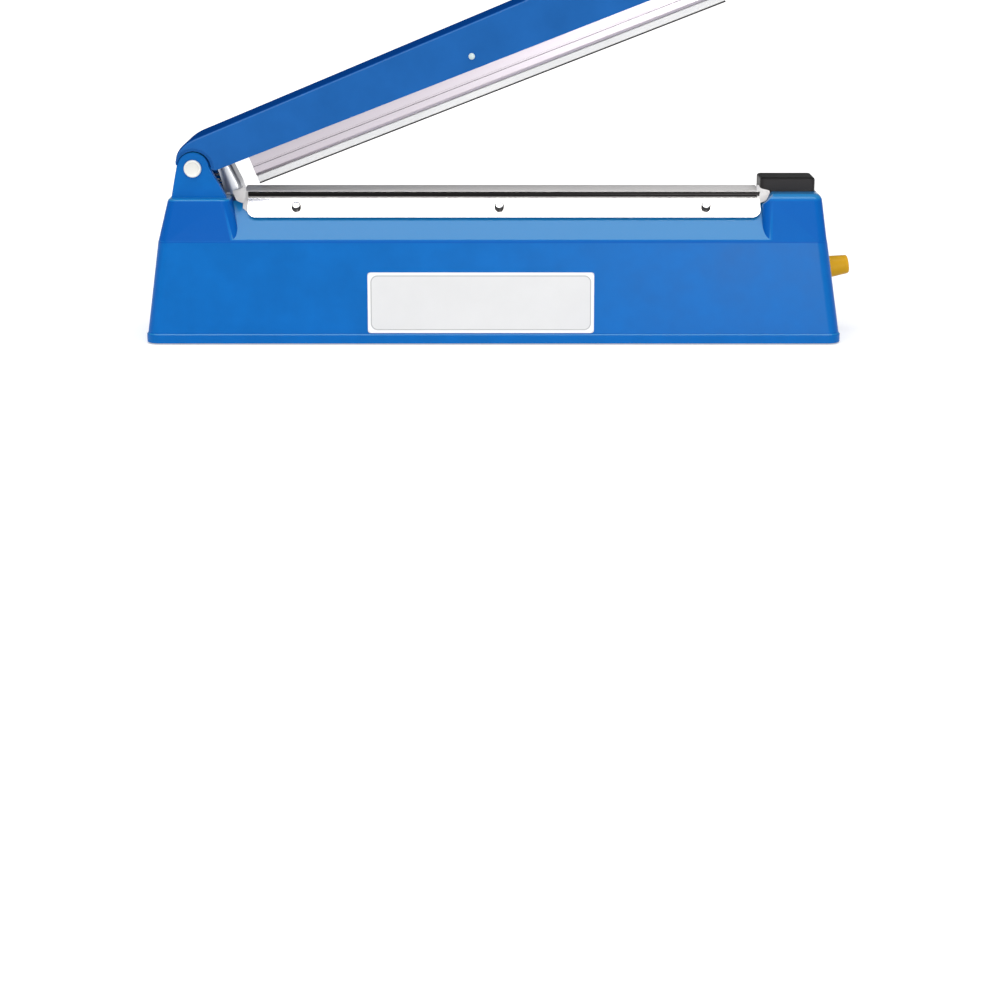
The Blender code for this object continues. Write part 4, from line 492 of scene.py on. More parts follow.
def drawn_lines():
    """Fine lines along X, as an extruded, rolled or brushed surface has them."""
    tree, given, result = effect("drawn lines", {
        "Vector": None, "Line width": 0.15 * MM, "Line length": 30 * MM}, ("Height", "Streak"))
    across = reckon(tree, 'DIVIDE', 1, given.outputs["Line width"])
    lengthwise = reckon(tree, 'DIVIDE', 1, given.outputs["Line length"])
    scale = lay(tree, "ShaderNodeCombineXYZ", x=lengthwise, y=across, z=across)
    place = lay(tree, "ShaderNodeVectorMath", {"operation": 'MULTIPLY'})
    tree.links.new(given.outputs["Vector"], place.inputs[0])
    tree.links.new(scale.outputs[0], place.inputs[1])
    lines = lay(tree, "ShaderNodeTexNoise", vector=place.outputs[0], scale=1, detail=4, roughness=0.7)
    tree.links.new(lines.outputs[0], result.inputs["Height"])
    tree.links.new(stretch(tree, lines.outputs[0], 0.3, 0.7), result.inputs["Streak"])
    return tree


def plain_weave():
    """Woven glass cloth: threads along X, and threads across it that run over the bends."""
    tree, given, result = effect("plain weave", {
        "Vector": None, "Thread pitch": 0.5 * MM}, ("Height", "Thread"))
    parts = lay(tree, "ShaderNodeSeparateXYZ", vector=given.outputs["Vector"])
    turn = reckon(tree, 'DIVIDE', 2 * pi, given.outputs["Thread pitch"])
    over = reckon(tree, 'SUBTRACT', reckon(tree, 'ABSOLUTE', parts.outputs["Y"]), parts.outputs["Z"])
    first = reckon(tree, 'SINE', reckon(tree, 'MULTIPLY', parts.outputs["X"], turn))
    second = reckon(tree, 'SINE', reckon(tree, 'MULTIPLY', over, turn))
    height = reckon(tree, 'MULTIPLY_ADD', reckon(tree, 'MULTIPLY', first, second), 0.5, 0.5)
    tree.links.new(height, result.inputs["Height"])
    tree.links.new(stretch(tree, height, 0.2, 0.9), result.inputs["Thread"])
    return tree


# How softly the painted shade in a groove or round a rim fades
GROOVE_FADE = 0.05 * MM

GRAIN, WEAR, LINES, WEAVE = moulded_grain(), worn_edges(), drawn_lines(), plain_weave()


def start_finish(name, roughness, metallic=0.0, specular=0.5):
    """A material with its shader, and the place on the piece that its effects are laid by."""
    made = bpy.data.materials.new(name)
    made.use_nodes = True
    tree = made.node_tree
    shader = tree.nodes["Principled BSDF"]
    shader.inputs["Roughness"].default_value = roughness
    shader.inputs["Metallic"].default_value = metallic
    shader.inputs["Specular IOR Level"].default_value = specular
    return made, tree, shader, lay(tree, "ShaderNodeTexCoord").outputs["Object"]


def use(tree, group, vector, **values):
    """Place an effect in a material."""
    node = tree.nodes.new("ShaderNodeGroup")
    node.node_tree = group
    tree.links.new(vector, node.inputs["Vector"])
    for key, value in values.items():
        node.inputs[key.replace("_", " ").capitalize()].default_value = value
    return node


def raise_surface(tree, shader, height, depth):
    """Bump of a depth in metres."""
    bump = lay(tree, "ShaderNodeBump", strength=1.0, distance=depth, height=height)
    tree.links.new(bump.outputs[0], shader.inputs["Normal"])


def moulded(name, colour, roughness, grain=0.4 * MM, depth=0.004 * MM, wear=0.25, uneven=0.04, specular=0.3):
    """Moulded plastic or rubber: grain, a little unevenness and paler rubbed edges."""
    made, tree, shader, place = start_finish(name, roughness, specular=specular)
    surface = use(tree, GRAIN, place, grain_size=grain)
    edges = use(tree, WEAR, place)
    pale = [part + (1 - part) * 0.35 for part in colour]
    deep = [part * (1 - 2 * uneven) for part in colour]
    bright = [part * (1 + 2 * uneven) for part in colour]
    base = shade(tree, stretch(tree, surface.outputs["Unevenness"], 0.3, 0.7), deep, bright)
    base = shade(tree, reckon(tree, 'MULTIPLY', edges.outputs["Mask"], wear), base, pale)
    tree.links.new(base, shader.inputs["Base Color"])
    tree.links.new(stretch(tree, surface.outputs["Unevenness"], 0.3, 0.7, roughness * 0.92,
                           roughness * 1.1), shader.inputs["Roughness"])
    raise_surface(tree, shader, surface.outputs["Height"], depth)
    return made


def metal(name, colour, roughness, line=0.15 * MM, length=30 * MM, depth=0.002 * MM, streak=0.06, wear=0.3,
          turn=None):
    """Metal with drawn or brushed lines and brighter edges."""
    made, tree, shader, place = start_finish(name, roughness, metallic=1.0)
    if turn is not None:
        place = lay(tree, "ShaderNodeMapping", vector=place, rotation=turn).outputs[0]
    lines = use(tree, LINES, place, line_width=line, line_length=length)
    edges = use(tree, WEAR, place, width=0.25 * MM)
    dull = [part * (1 - streak) for part in colour]
    base = shade(tree, lines.outputs["Streak"], dull, colour)
    bright = [min(1, part * 1.25) for part in colour]
    base = shade(tree, reckon(tree, 'MULTIPLY', edges.outputs["Mask"], wear), base, bright)
    tree.links.new(base, shader.inputs["Base Color"])
    tree.links.new(stretch(tree, lines.outputs["Streak"], 0, 1, roughness * 0.8, roughness * 1.25),
                   shader.inputs["Roughness"])
    raise_surface(tree, shader, lines.outputs["Height"], depth)
    return made


def upward(tree):
    """How far a face points up along its piece's own Z."""
    normal = lay(tree, "ShaderNodeTexCoord").outputs["Normal"]
    return lay(tree, "ShaderNodeSeparateXYZ", vector=normal).outputs["Z"]


def band(tree, value, start, full, fall=None, end=None):
    """1 where a value lies between full and fall, fading out to start and end."""
    inside = stretch(tree, value, start, full)
    if fall is None:
        return inside
    return reckon(tree, 'MULTIPLY', inside, stretch(tree, value, end, fall))


def laid_over(made, share, colour):
    """Lay a colour over a material where a share is high."""
    shader = made.node_tree.nodes["Principled BSDF"]
    base = shader.inputs["Base Color"].links[0].from_socket
    made.node_tree.links.new(shade(made.node_tree, share, base, colour), shader.inputs["Base Color"])
    return made


def paint_light_by_facing(made, colour, *limits, both=False):
    """Paint light or shade: lay a colour over the faces whose upward share lies in a band."""
    tree = made.node_tree
    height = upward(tree)
    if both:
        height = reckon(tree, 'ABSOLUTE', height)
    return laid_over(made, band(tree, height, *limits), colour)


def shade_painted_groove(made, low, high, colour):
    """Paint shade on what faces up or down inside a groove between two heights of the piece."""
    tree = made.node_tree
    place = lay(tree, "ShaderNodeTexCoord").outputs["Object"]
    height = lay(tree, "ShaderNodeSeparateXYZ", vector=place).outputs["Z"]
    inside = band(tree, height, low, low + GROOVE_FADE, high - GROOVE_FADE, high)
    level = band(tree, reckon(tree, 'ABSOLUTE', upward(tree)), 0.2, 0.5)
    return laid_over(made, reckon(tree, 'MULTIPLY', inside, level), colour)


def shade_painted_rim(made, radius, colour):
    """Paint a shaded ring: darken a round piece beyond a distance from its own Z, all the way round, and make
    it non-metal there.
    """
    tree = made.node_tree
    place = lay(tree, "ShaderNodeTexCoord").outputs["Object"]
    flat = lay(tree, "ShaderNodeVectorMath", {"operation": 'MULTIPLY'})
    tree.links.new(place, flat.inputs[0])
    flat.inputs[1].default_value = (1, 1, 0)
    distance = lay(tree, "ShaderNodeVectorMath", {"operation": 'LENGTH'})
    tree.links.new(flat.outputs[0], distance.inputs[0])
    rim = band(tree, distance.outputs["Value"], radius - GROOVE_FADE, radius + GROOVE_FADE)
    tree.links.new(reckon(tree, 'SUBTRACT', 1, rim), tree.nodes["Principled BSDF"].inputs["Metallic"])
    return laid_over(made, rim, colour)


def polished(made, roughness, *limits):
    """A clear gloss on the faces whose upward share lies in a band, as the mould's polish gives."""
    tree = made.node_tree
    shader = tree.nodes["Principled BSDF"]
    shader.inputs["Coat Roughness"].default_value = roughness
    tree.links.new(band(tree, upward(tree), *limits), shader.inputs["Coat Weight"])
    return made


def bordered(made, half_length, half_width, corner, rows):
    """Lay printed lines round a label: rows of distance from its edge, width and colour."""
    tree = made.node_tree
    place = lay(tree, "ShaderNodeSeparateXYZ", vector=lay(tree, "ShaderNodeTexCoord").outputs["Object"])
    across = []
    for socket, half in ((place.outputs["X"], half_length), (place.outputs["Z"], half_width)):
        off = reckon(tree, 'SUBTRACT', reckon(tree, 'ABSOLUTE', socket), half - corner)
        across.append(reckon(tree, 'MAXIMUM', off, 0))
    square = reckon(tree, 'ADD', reckon(tree, 'POWER', across[0], 2), reckon(tree, 'POWER', across[1], 2))
    inward = reckon(tree, 'SUBTRACT', corner, reckon(tree, 'SQRT', square))
    for distance, width, colour in rows:
        gap = reckon(tree, 'ABSOLUTE', reckon(tree, 'SUBTRACT', inward, distance))
        laid_over(made, stretch(tree, gap, width / 2, width / 2 + 0.1 * MM, 1, 0), colour)
    return made


def woven(name, colour, roughness, pitch, depth):
    """Coated woven glass cloth."""
    made, tree, shader, place = start_finish(name, roughness, specular=0.4)
    weave = use(tree, WEAVE, place, thread_pitch=pitch)
    surface = use(tree, GRAIN, place, patch_size=14 * MM)
    base = shade(tree, weave.outputs["Thread"], [part * 0.82 for part in colour], colour)
    base = shade(tree, stretch(tree, surface.outputs["Unevenness"], 0.35, 0.7, 0, 0.3), base,
                 [part * 0.85 for part in colour])
    tree.links.new(base, shader.inputs["Base Color"])
    raise_surface(tree, shader, weave.outputs["Height"], depth)
    return made


BLUE = moulded("base plastic", (0.002, 0.145, 0.5), 0.3, specular=0.1, wear=0.12)
# Painted shade: faces that lean back a little, such as the towers' fronts and the left end, are darker blue.
paint_light_by_facing(BLUE, (0.001, 0.106, 0.45), 0.13, 0.19, 0.3, 0.45)
# Painted light: faces that point well up, such as the shoulder slopes and the tops, are paler blue.
paint_light_by_facing(BLUE, (0.006, 0.2, 0.5), 0.55, 0.65)
polished(BLUE, 0.22, 0.45, 0.8)
ARM_BLUE = moulded("arm plastic", (0.018, 0.125, 0.41), 0.4, specular=0.0, wear=0.12)
# Painted shade: the arm's upward faces, its top, are darker blue.
paint_light_by_facing(ARM_BLUE, (0.002, 0.04, 0.2), 0.5, 0.7)
polished(ARM_BLUE, 0.15, 0.2, 0.35, 0.45, 0.55)
BLACK = moulded("black plastic", (0.026, 0.024, 0.025), 0.42, grain=0.3 * MM, depth=0.008 * MM, specular=0.15)
# Painted shade: upward faces of the black parts, such as the button's and the handle's tops, are near black.
paint_light_by_facing(BLACK, (0.004, 0.004, 0.004), 0.3, 0.8)
CREAM = moulded("cream cap", (0.86, 0.85, 0.8), 0.35, grain=0.25 * MM, wear=0.1)
YELLOW = moulded("yellow knob", (0.74, 0.39, 0.012), 0.38, grain=0.25 * MM, specular=0.15)
SILICONE = moulded("white silicone", (0.95, 0.95, 0.94), 0.45, wear=0.0, uneven=0.02)
RUBBER = moulded("rubber", (0.022, 0.022, 0.023), 0.75, grain=0.25 * MM, depth=0.02 * MM)
# Painted shade in the press bar's groove.
ALUMINIUM = shade_painted_groove(metal("extruded aluminium", (0.5, 0.46, 0.5), 0.36), -7.6 * MM, -5.9 * MM,
                    (0.02, 0.016, 0.02))
BRIGHT = metal("bright sheet", (0.9, 0.87, 0.85), 0.14, depth=0.0006 * MM, streak=0.03)
STEEL = metal("zinc steel", (0.6, 0.6, 0.6), 0.28, length=4 * MM)
BRASS = metal("turned brass", (0.7, 0.5, 0.22), 0.25, length=4 * MM)
COPPER = metal("copper winding", (0.6, 0.2, 0.07), 0.3, line=0.5 * MM, length=400 * MM, depth=0.1 * MM,
               streak=0.35)
CORE = metal("core plates", (0.3, 0.3, 0.31), 0.45, line=0.5 * MM, length=400 * MM, depth=0.05 * MM,
             streak=0.3)
CLOTH = woven("cover cloth", (0.82, 0.8, 0.79), 0.45, 0.5 * MM, 0.03 * MM)
TAPE = woven("facing tape", (0.035, 0.03, 0.03), 0.5, 0.4 * MM, 0.03 * MM)
BOARD = moulded("board", (0.015, 0.1, 0.035), 0.4, wear=0.0)
LABEL = bordered(moulded("label film", (0.77, 0.77, 0.77), 0.4, wear=0.0, uneven=0.01), LABEL_HALF,
                 (LABEL_HIGH - LABEL_LOW) / 2, 6 * MM,
                 ((0.3 * MM, 2.6 * MM, (0.95, 0.95, 0.95)), (2.1 * MM, 0.45 * MM, (0.5, 0.5, 0.5))))
CLIP_SHEET = metal("clip sheet", (0.95, 0.92, 0.9), 0.22, depth=0.0006 * MM, streak=0.03)
# Painted reflection: the clip plates' upright faces, their lips along the bed, are near black, as if they
# mirrored something dark.
paint_light_by_facing(CLIP_SHEET, (0.012, 0.011, 0.011), 0.6, 0.35, both=True)
GUARD_SHEET = metal("guard sheet", (0.7, 0.71, 0.74), 0.42, depth=0.0006 * MM, streak=0.05,
                    turn=(0, pi / 2, 0))
PLATE_STEEL = metal("zinc sheet", (0.55, 0.56, 0.57), 0.4, line=0.6 * MM, length=60 * MM, depth=0.001 * MM)
# Painted highlight: the steel rivet heads get a flat pale colour, not metal, standing in for their bright
# glint.
RIVET = moulded("rivet head", (0.62, 0.74, 0.74), 0.3, wear=0.0)
SCREW_STEEL = metal("screw steel", (0.9, 0.9, 0.9), 0.25, length=4 * MM)
# Painted shade: a dark ring round the edge of every screw head.
shade_painted_rim(SCREW_STEEL, 2.1 * MM, (0.015, 0.015, 0.017))

FINISHES = {
    "base_plastic": BLUE, "arm_plastic": ARM_BLUE, "black_plastic": BLACK, "cream_plastic": CREAM,
    "knob_plastic": YELLOW, "bar_aluminium": ALUMINIUM, "bright_plate": BRIGHT, "plain_steel": STEEL,
    "brass": BRASS, "winding": COPPER, "white_silicone": SILICONE, "dark_tape": TAPE,
    "cover_cloth": CLOTH, "label_film": LABEL, "black_rubber": RUBBER, "board": BOARD,
}


def finish_nodes():
    """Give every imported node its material; the pieces built here replace most of them."""
    for row in frame["record"]["subparts"]:
        node = frame["nodes"][row["node"]]
        node.data.materials.clear()
        finish = CORE if row["node"] == "transformer_core" else FINISHES[row["material_slot"]]
        node.data.materials.append(finish)


# Base housing


def tower(name, height, top_left, top_right, foot_left, foot_right, top_half, edge, shrink=0):
    """A tower whose foot is sunk into the housing's walls, with a rounded top."""
    spread = (BASE_HALF - SHOULDER_HALF) / SHOULDER_HEIGHT
    inset, root = 0.3 * MM, 4 * MM
    half = SHOULDER_HALF - inset - shrink
    foot = (SHOULDER_HEIGHT, foot_left, foot_right, half)
    top = (height, top_left, top_right, top_half - shrink)
    rings = [level_ring(up(SHOULDER_HEIGHT - root), foot_left + inset, foot_right - inset,
                        half - inset - spread * inset, TOWER_CORNER),
             level_ring(up(SHOULDER_HEIGHT), *foot[1:], TOWER_CORNER)]
    for step in range(9):
        angle = pi / 2 * step / 8
        level = height - edge * (1 - sin(angle))
        share = (level - SHOULDER_HEIGHT) / (height - SHOULDER_HEIGHT)
        left, right, across = [low + (high - low) * share for low, high in zip(foot[1:], top[1:])]
        off = edge * (1 - cos(angle))
        rings.append(level_ring(up(level), left + off, right - off, across - off, TOWER_CORNER - off))
    return skinned(name, rings)


def hinge_tower(name, shrink=0):
    return tower(name, HINGE_TOWER_TOP - shrink, along(14.7 * MM) + shrink, along(51.8 * MM) - shrink,
                 along(SHOULDER_LEFT) + 0.3 * MM + shrink, along(58.2 * MM) - shrink, 29 * MM,
                 0.1 * MM if shrink else HINGE_TOWER_ROUND, shrink)


def switch_tower(name, shrink=0):
    """The tower under the button; its hollow stays off the bevel and the button's well."""
    off_bevel = SWITCH_TOWER_BEVEL / 2 if shrink else 0
    made = tower(name, WELL_FLOOR - shrink if shrink else SWITCH_TOWER_TOP,
                 along(372.2 * MM) + shrink + off_bevel, along(407.4 * MM) - shrink,
                 along(371.2 * MM) + shrink, along(BASE_LENGTH - SHOULDER_RIGHT) - 0.3 * MM - shrink,
                 25 * MM, 0.1 * MM if shrink else SWITCH_TOWER_ROUND, shrink)
    if not shrink:
        left, top, past = along(372.2 * MM), up(SWITCH_TOWER_TOP), 3 * MM
        corner = [(left - past, top - SWITCH_TOWER_BEVEL - past),
                  (left + SWITCH_TOWER_BEVEL + past, top + past), (left - past, top + past)]
        well = block("well", (left - past, -12.5 * MM, up(WELL_FLOOR)),
                     (along(BUTTON_END + 0.5 * MM), 12.5 * MM, top + past))
        cut(made, pulled("bevel_tool", corner, 'Y', -BASE_HALF, BASE_HALF), well)
        round_off(made, 0.35 * MM, 2, angle=40)
    return made


def ear(name, side):
    """One hinge ear: a round head over a foot that sweeps out towards the bed."""
    foot = up(HINGE_TOWER_TOP) - WALL / 2
    flank = [(PIN_X - 13.8 * MM, foot), (PIN_X + 20.3 * MM, foot), (PIN_X + 16.3 * MM, PIN_Z - 10.8 * MM),
             (PIN_X + 12 * MM, PIN_Z - 3.4 * MM)]
    head = arc((PIN_X, PIN_Z), EAR_RADIUS, 8, 168, 28)
    waist = [(PIN_X - 11.2 * MM, PIN_Z - 5.5 * MM)]
    outline = eased(flank + head + waist, [0, 0, 4 * MM, 3 * MM] + [0] * len(head) + [4 * MM], 5)
    start, end = sorted((side * (EAR_FACE - EAR_THICKNESS), side * EAR_FACE))
    made = pulled(name, outline, 'Y', start, end)
    round_off(made, 0.9 * MM, 3, chosen=lambda a, b: abs(a.y - b.y) < FIT and abs(a.y) > EAR_FACE - FIT
              and max(a.z, b.z) > foot + FIT)
    return cut(made, pin("ear_bore", (PIN_X, start - MM, PIN_Z), (PIN_X, end + MM, PIN_Z), PIN_RADIUS + FIT))


def screw_seats(sign):
    """Seat and outward direction of each clip screw on one side."""
    half, z = slope_point(SCREW_REACH, 2 * FIT + CLOTH_THICKNESS + PLATE_THICKNESS)
    normal = Vector((0, sign * sin(SLOPE), cos(SLOPE)))
    return [(Vector((along(PLATE_START + share * (BED_END - PLATE_START)), sign * half, z)), normal)
            for share in SCREW_SHARES]


def housing_outside():
    left, right = along(0), along(BASE_LENGTH)
    edge = 0.6 * MM
    rows = [
        (up(0), left + edge, right - edge, BASE_HALF - edge, CORNER - edge),
        (up(0), left, right, BASE_HALF, CORNER),
        (up(SKIRT_HEIGHT - SKIRT_PROUD), left, right, BASE_HALF, CORNER),
        (up(SKIRT_HEIGHT), left + SKIRT_PROUD, right - SKIRT_PROUD, BASE_HALF - SKIRT_PROUD,
         CORNER - SKIRT_PROUD),
        (up(SHOULDER_HEIGHT), along(SHOULDER_LEFT), along(BASE_LENGTH - SHOULDER_RIGHT), SHOULDER_HALF,
         CORNER - SKIRT_PROUD),
        (up(PLATEAU_HEIGHT), along(25.9 * MM), along(396.1 * MM), PLATEAU_HALF, CORNER / 2),
    ]
    sizes = (0, edge, 0.4 * MM, 0.4 * MM, 1.6 * MM, 0)
    return skinned("housing", [level_ring(*row) for row in eased(rows, sizes, 4, closed=False)])


def housing_inside():
    """The hollow of the housing and its bed slot."""
    left, right = along(SKIRT_PROUD) + WALL, along(BASE_LENGTH - SKIRT_PROUD) - WALL
    wall_off = WALL / cos(FRONT_LEAN)
    slope_off = WALL / sin(SLOPE)
    slot_floor = up(BED_TOP - 10.6 * MM) - FIT
    ceiling = slot_floor - WALL
    bend = up(SHOULDER_HEIGHT) - (slope_off - wall_off) * tan(SLOPE)
    ceiling_half = slope_point((ceiling - up(SHOULDER_HEIGHT)) / sin(SLOPE), 0)[0] - slope_off
    skirt_half = BASE_HALF - SKIRT_PROUD - wall_off
    radius = CORNER - WALL
    inside = skinned("inside", [
        level_ring(up(0) - 3 * MM, left, right, skirt_half, radius),
        level_ring(up(SKIRT_HEIGHT), left, right, skirt_half, radius),
        level_ring(bend, along(SHOULDER_LEFT) + WALL, along(BASE_LENGTH - SHOULDER_RIGHT) - WALL,
                   SHOULDER_HALF - wall_off, radius),
        level_ring(ceiling, along(25.9 * MM), along(396.1 * MM), ceiling_half, radius / 2),
    ])
    slot = block("bed_slot", (along(BED_START) - FIT, -BED_HALF - FIT, slot_floor),
                 (along(BED_END) + FIT, BED_HALF + FIT, up(PLATEAU_HEIGHT) + 3 * MM))
    return [inside, hinge_tower("hinge_hollow", WALL), switch_tower("switch_hollow", WALL), slot]


def timer_place():
    """Where the timer's axis passes the right-hand wall, and its direction."""
    height = 39.6 * MM
    x = along(BASE_LENGTH - SKIRT_PROUD) - (height - SKIRT_HEIGHT) * tan(RIGHT_LEAN)
    return Vector((x, 0, up(height))), Vector((cos(RIGHT_LEAN), 0, sin(RIGHT_LEAN)))


def gland_place():
    height = 26 * MM
    y = BASE_HALF - SKIRT_PROUD - (height - SKIRT_HEIGHT) * tan(FRONT_LEAN)
    return Vector((along(60 * MM), y, up(height))), Vector((0, cos(FRONT_LEAN), sin(FRONT_LEAN)))


def post_places():
    return [(along(x), y) for x in (24 * MM, 396 * MM) for y in (-27 * MM, 27 * MM)]


def build_housing():
    """The moulded housing, hollow and open below, with its towers, ears, posts and holes."""
    shell = housing_outside()
    join(shell, hinge_tower("hinge_tower"), switch_tower("switch_tower"))
    cut(shell, *housing_inside())
    join(shell, ear("ear_front", -1), ear("ear_back", 1))
    peg_x = along(41.4 * MM)
    stem_x = along(STEM_FROM_LEFT)
    joined = [pin("spring_peg", (peg_x, 0, up(HINGE_TOWER_TOP) - 1.2 * MM),
                  (peg_x, 0, up(HINGE_TOWER_TOP + 5 * MM)), 3 * MM, tip=2.6 * MM)]
    joined += [pin("post", (x, y, up(5.3 * MM)), (x, y, up(68.5 * MM)), 4 * MM) for x, y in post_places()]
    join(shell, one_tool("posts", joined))
    holes = [pin("post_hole", (x, y, up(4 * MM)), (x, y, up(18.3 * MM)), 2 * MM, 16)
             for x, y in post_places()]
    for sign in (-1, 1):
        holes += [pin("clip_hole", seat + normal * 3 * MM, seat - normal * 6.3 * MM, 1.7 * MM, 16)
                  for seat, normal in screw_seats(sign)]
    holes += [pin("stem_hole", (stem_x, 0, up(90 * MM)), (stem_x, 0, up(82.7 * MM)), 3.4 * MM),
              pin("guard_hole", (along(49.8 * MM), 0, up(89 * MM)), (along(49.8 * MM), 0, up(80.1 * MM)),
                  1.4 * MM, 16)]
    wall, axis = timer_place()
    holes.append(pin("timer_hole", wall + axis * 3 * MM, wall - axis * 5.5 * MM, 4.2 * MM))
    gland, outward = gland_place()
    holes.append(pin("gland_hole", gland + outward * 3 * MM, gland - outward * 5.5 * MM, 4.9 * MM))
    cut(shell, one_tool("holes", holes))
    dress(shell, BLUE, "base", "base_plastic", "base_shell", angle=28)


# Arm and handle


def arm_back(inset, foot, steps):
    """The arm's full rear curve, from its top down to a height: fuller than an ellipse."""
    reach, rise = ARM_REAR_REACH - inset, ARM_RISE - inset
    last = pi - asin((foot / rise) ** (1 / ARM_REAR_POWER))
    points = []
    for i in range(steps + 1):
        angle = pi / 2 + (last - pi / 2) * i / steps
        across = max(-cos(angle), 0) ** ARM_REAR_POWER
        points.append((ARM_REAR - reach * across, rise * sin(angle) ** ARM_REAR_POWER))
    return points


def arm_side(inset=0, drop=0):
    """Side view of the arm about its pin; inset and drop give its open inside."""
    bottom = -ARM_BELOW - drop
    end = ARM_LENGTH - inset
    nose = ARM_LENGTH - ARM_NOSE
    points = [(13 * MM, bottom), (nose, bottom)]
    if drop:
        points.append((end, bottom))
    else:
        shares = [step / 10 for step in range(1, 11)]
        points += [(nose + share * ARM_NOSE, bottom + share ** 2 * ARM_NOSE_RISE) for share in shares]
    points.append((end, arm_top(end) - inset))
    points += arm_back(inset, ARM_REAR_END - (ARM_WALL if drop else 0), 28)
    if drop:
        points.append((points[-1][0], bottom))
    return points


def lug_plate(name, side, face):
    """A plate inside the arm that turns on the pin."""
    inset, top_x = ARM_WALL / 2, 15 * MM
    points = [(top_x, arm_top(top_x) - inset), *arm_back(inset, ARM_REAR_END, 16),
              *arc((0, 0), 8 * MM, 180, 315, 20), (top_x, -ARM_BELOW + 0.4 * MM)]
    start, end = sorted((side * (face - WALL), side * face))
    return pulled(name, points, 'Y', start, end)


def build_arm():
    """The hollow arm with its recesses round the ears, lugs, spring seat and presser rib."""
    shell = pulled("arm_cover", arm_side(), 'Y', -ARM_HALF, ARM_HALF)
    round_off(shell, 2 * MM, 5, chosen=lambda a, b: min(a.z, b.z) > 5.2 * MM and abs(a.y - b.y) < FIT
              and abs(a.x - b.x) > FIT)
    inner = ARM_HALF - ARM_WALL
    cut(shell, pulled("arm_inside", arm_side(ARM_WALL, 3 * MM), 'Y', -inner, inner))
    lug_face = EAR_FACE - EAR_THICKNESS - 0.4 * MM
    for side in (-1, 1):
        x, z, radius = 0.6 * MM, -0.3 * MM, 10.4 * MM
        cut(shell, pin("notch", (x, side * lug_face, z), (x, side * (ARM_HALF + MM), z), radius, 96),
            pin("notch_slope", (x, side * (inner + 0.3 * MM), z), (x, side * (ARM_HALF + 0.3 * MM), z),
                radius - 0.2 * MM, 96, tip=radius + 2.4 * MM))
    join(shell, lug_plate("lug_front", -1, lug_face), lug_plate("lug_back", 1, lug_face))
    seat = lug_face - WALL / 2
    presser = ARM_LENGTH - 17 * MM
    join(shell, block("spring_seat", (8 * MM, -seat, 2 * MM), (14.5 * MM, seat, 4.5 * MM)),
         block("presser", (presser - 1.5 * MM, -8 * MM, -6.4 * MM),
               (presser + 1.5 * MM, 8 * MM, arm_top(presser) - ARM_WALL / 2)))
    holes = [pin("pin_hole", (0, -ARM_HALF, 0), (0, ARM_HALF, 0), PIN_RADIUS + FIT)]
    for side in (-1, 1):
        holes.append(pin("rivet_hole", (BRACKET_MIDDLE, side * 26 * MM, 1.7 * MM),
                         (BRACKET_MIDDLE, side * 19 * MM, 1.7 * MM), 1.8 * MM, 16))
    for share in GRIP_SCREW_SHARES:
        x = GRIP_REAR + share * GRIP_LENGTH
        holes.append(pin("screw_hole", (x, 0, arm_top(x) - 6 * MM), (x, 0, arm_top(x) + 3 * MM),
                         1.4 * MM, 16))
    cut(shell, one_tool("arm_holes", holes))
    shell.matrix_world = ARM_FRAME
    dress(shell, ARM_BLUE, "arm", "arm_plastic", "arm_shell", angle=28)


def build_grip():
    """The black handle over the arm's front end, with a lip past it."""
    half = ARM_HALF + FIT + GRIP_WALL
    shares = (0, 0.58, 0.88, 1, 1 + GRIP_LIP / GRIP_LENGTH)
    feet = (9.6, 10.7, 11.3, 11.5, 11.5)
    ridges = (25.4, 26.2, 27.4, 27.6, 28.4)
    crowns = (28.4, 31, 32.6, 31.8, 30.4)
    rows = eased([(GRIP_REAR + share * GRIP_LENGTH, foot * MM, ridge * MM, crown * MM)
                  for share, foot, ridge, crown in zip(shares, feet, ridges, crowns)],
                 (0, 8 * MM, 3 * MM, 2 * MM, 0), 6, closed=False)
    shoulder = half - 6 * MM
    made = skinned("grip", [[(x, -half, foot), (x, -half, ridge), (x, -shoulder, crown), (x, shoulder, crown),
                             (x, half, ridge), (x, half, foot)] for x, foot, ridge, crown in rows])
    front = GRIP_REAR + GRIP_LENGTH
    tip = front + GRIP_LIP
    far = tip + 3 * MM
    under = eased([(front, 0), (front, 25.6 * MM), (far, 29.8 * MM), (far, 0)], (0, 1.5 * MM, 0, 0), 4)
    cut(made, pulled("under_lip", under, 'Y', -half - MM, half + MM))
    for side in (-1, 1):
        corner = [(tip - GRIP_LIP, side * (half + 3 * MM)), (tip + 3 * MM, side * (half + 3 * MM)),
                  (tip + 3 * MM, side * (half - GRIP_LIP))]
        cut(made, skinned("lip_corner", [[(x, y, z) for x, y in corner] for z in (0, 40 * MM)]))
    round_off(made, 0.9 * MM, 3, angle=12, miter='MITER_SHARP')
    inner = ARM_HALF + FIT
    start, end = GRIP_REAR - 3 * MM, ARM_LENGTH + FIT
    nest = [(start, -9 * MM), (end, -9 * MM), (end, arm_top(end) + FIT), (start, arm_top(start) + FIT)]
    cut(made, pulled("arm_nest", nest, 'Y', -inner, inner))
    made.data.transform(ARM_FRAME)
    dress(made, BLACK, "arm", "black_plastic", "handle", angle=25)


# Bed, cloth and clip plates


def mirrored(made, name):
    """The same piece on the other side of the middle."""
    mesh = made.data.copy()
    mesh.transform(Matrix.Scale(-1, 4, (0, 1, 0)))
    mesh.flip_normals()
    return hold(mesh, name)


def corner_tools(start, end, foot, size, steps):
    """What the cut lower corners of a piece on the front slope leave out."""
    tools = []
    for x, side in ((start, -1), (end, 1)):
        near, far = x - side * size, x + side * MM
        curve = [(near + side * size * sin(pi / 2 * i / steps), foot + size - size * cos(pi / 2 * i / steps))
                 for i in range(steps + 1)]
        points = [(far, foot + size), (far, foot - MM), (near, foot - MM)] + curve
        tools.append(skinned("corner", [[(u, v, w) for u, v in points] for w in (-MM, 5 * MM)], SLOPE_FRAME))
    return tools


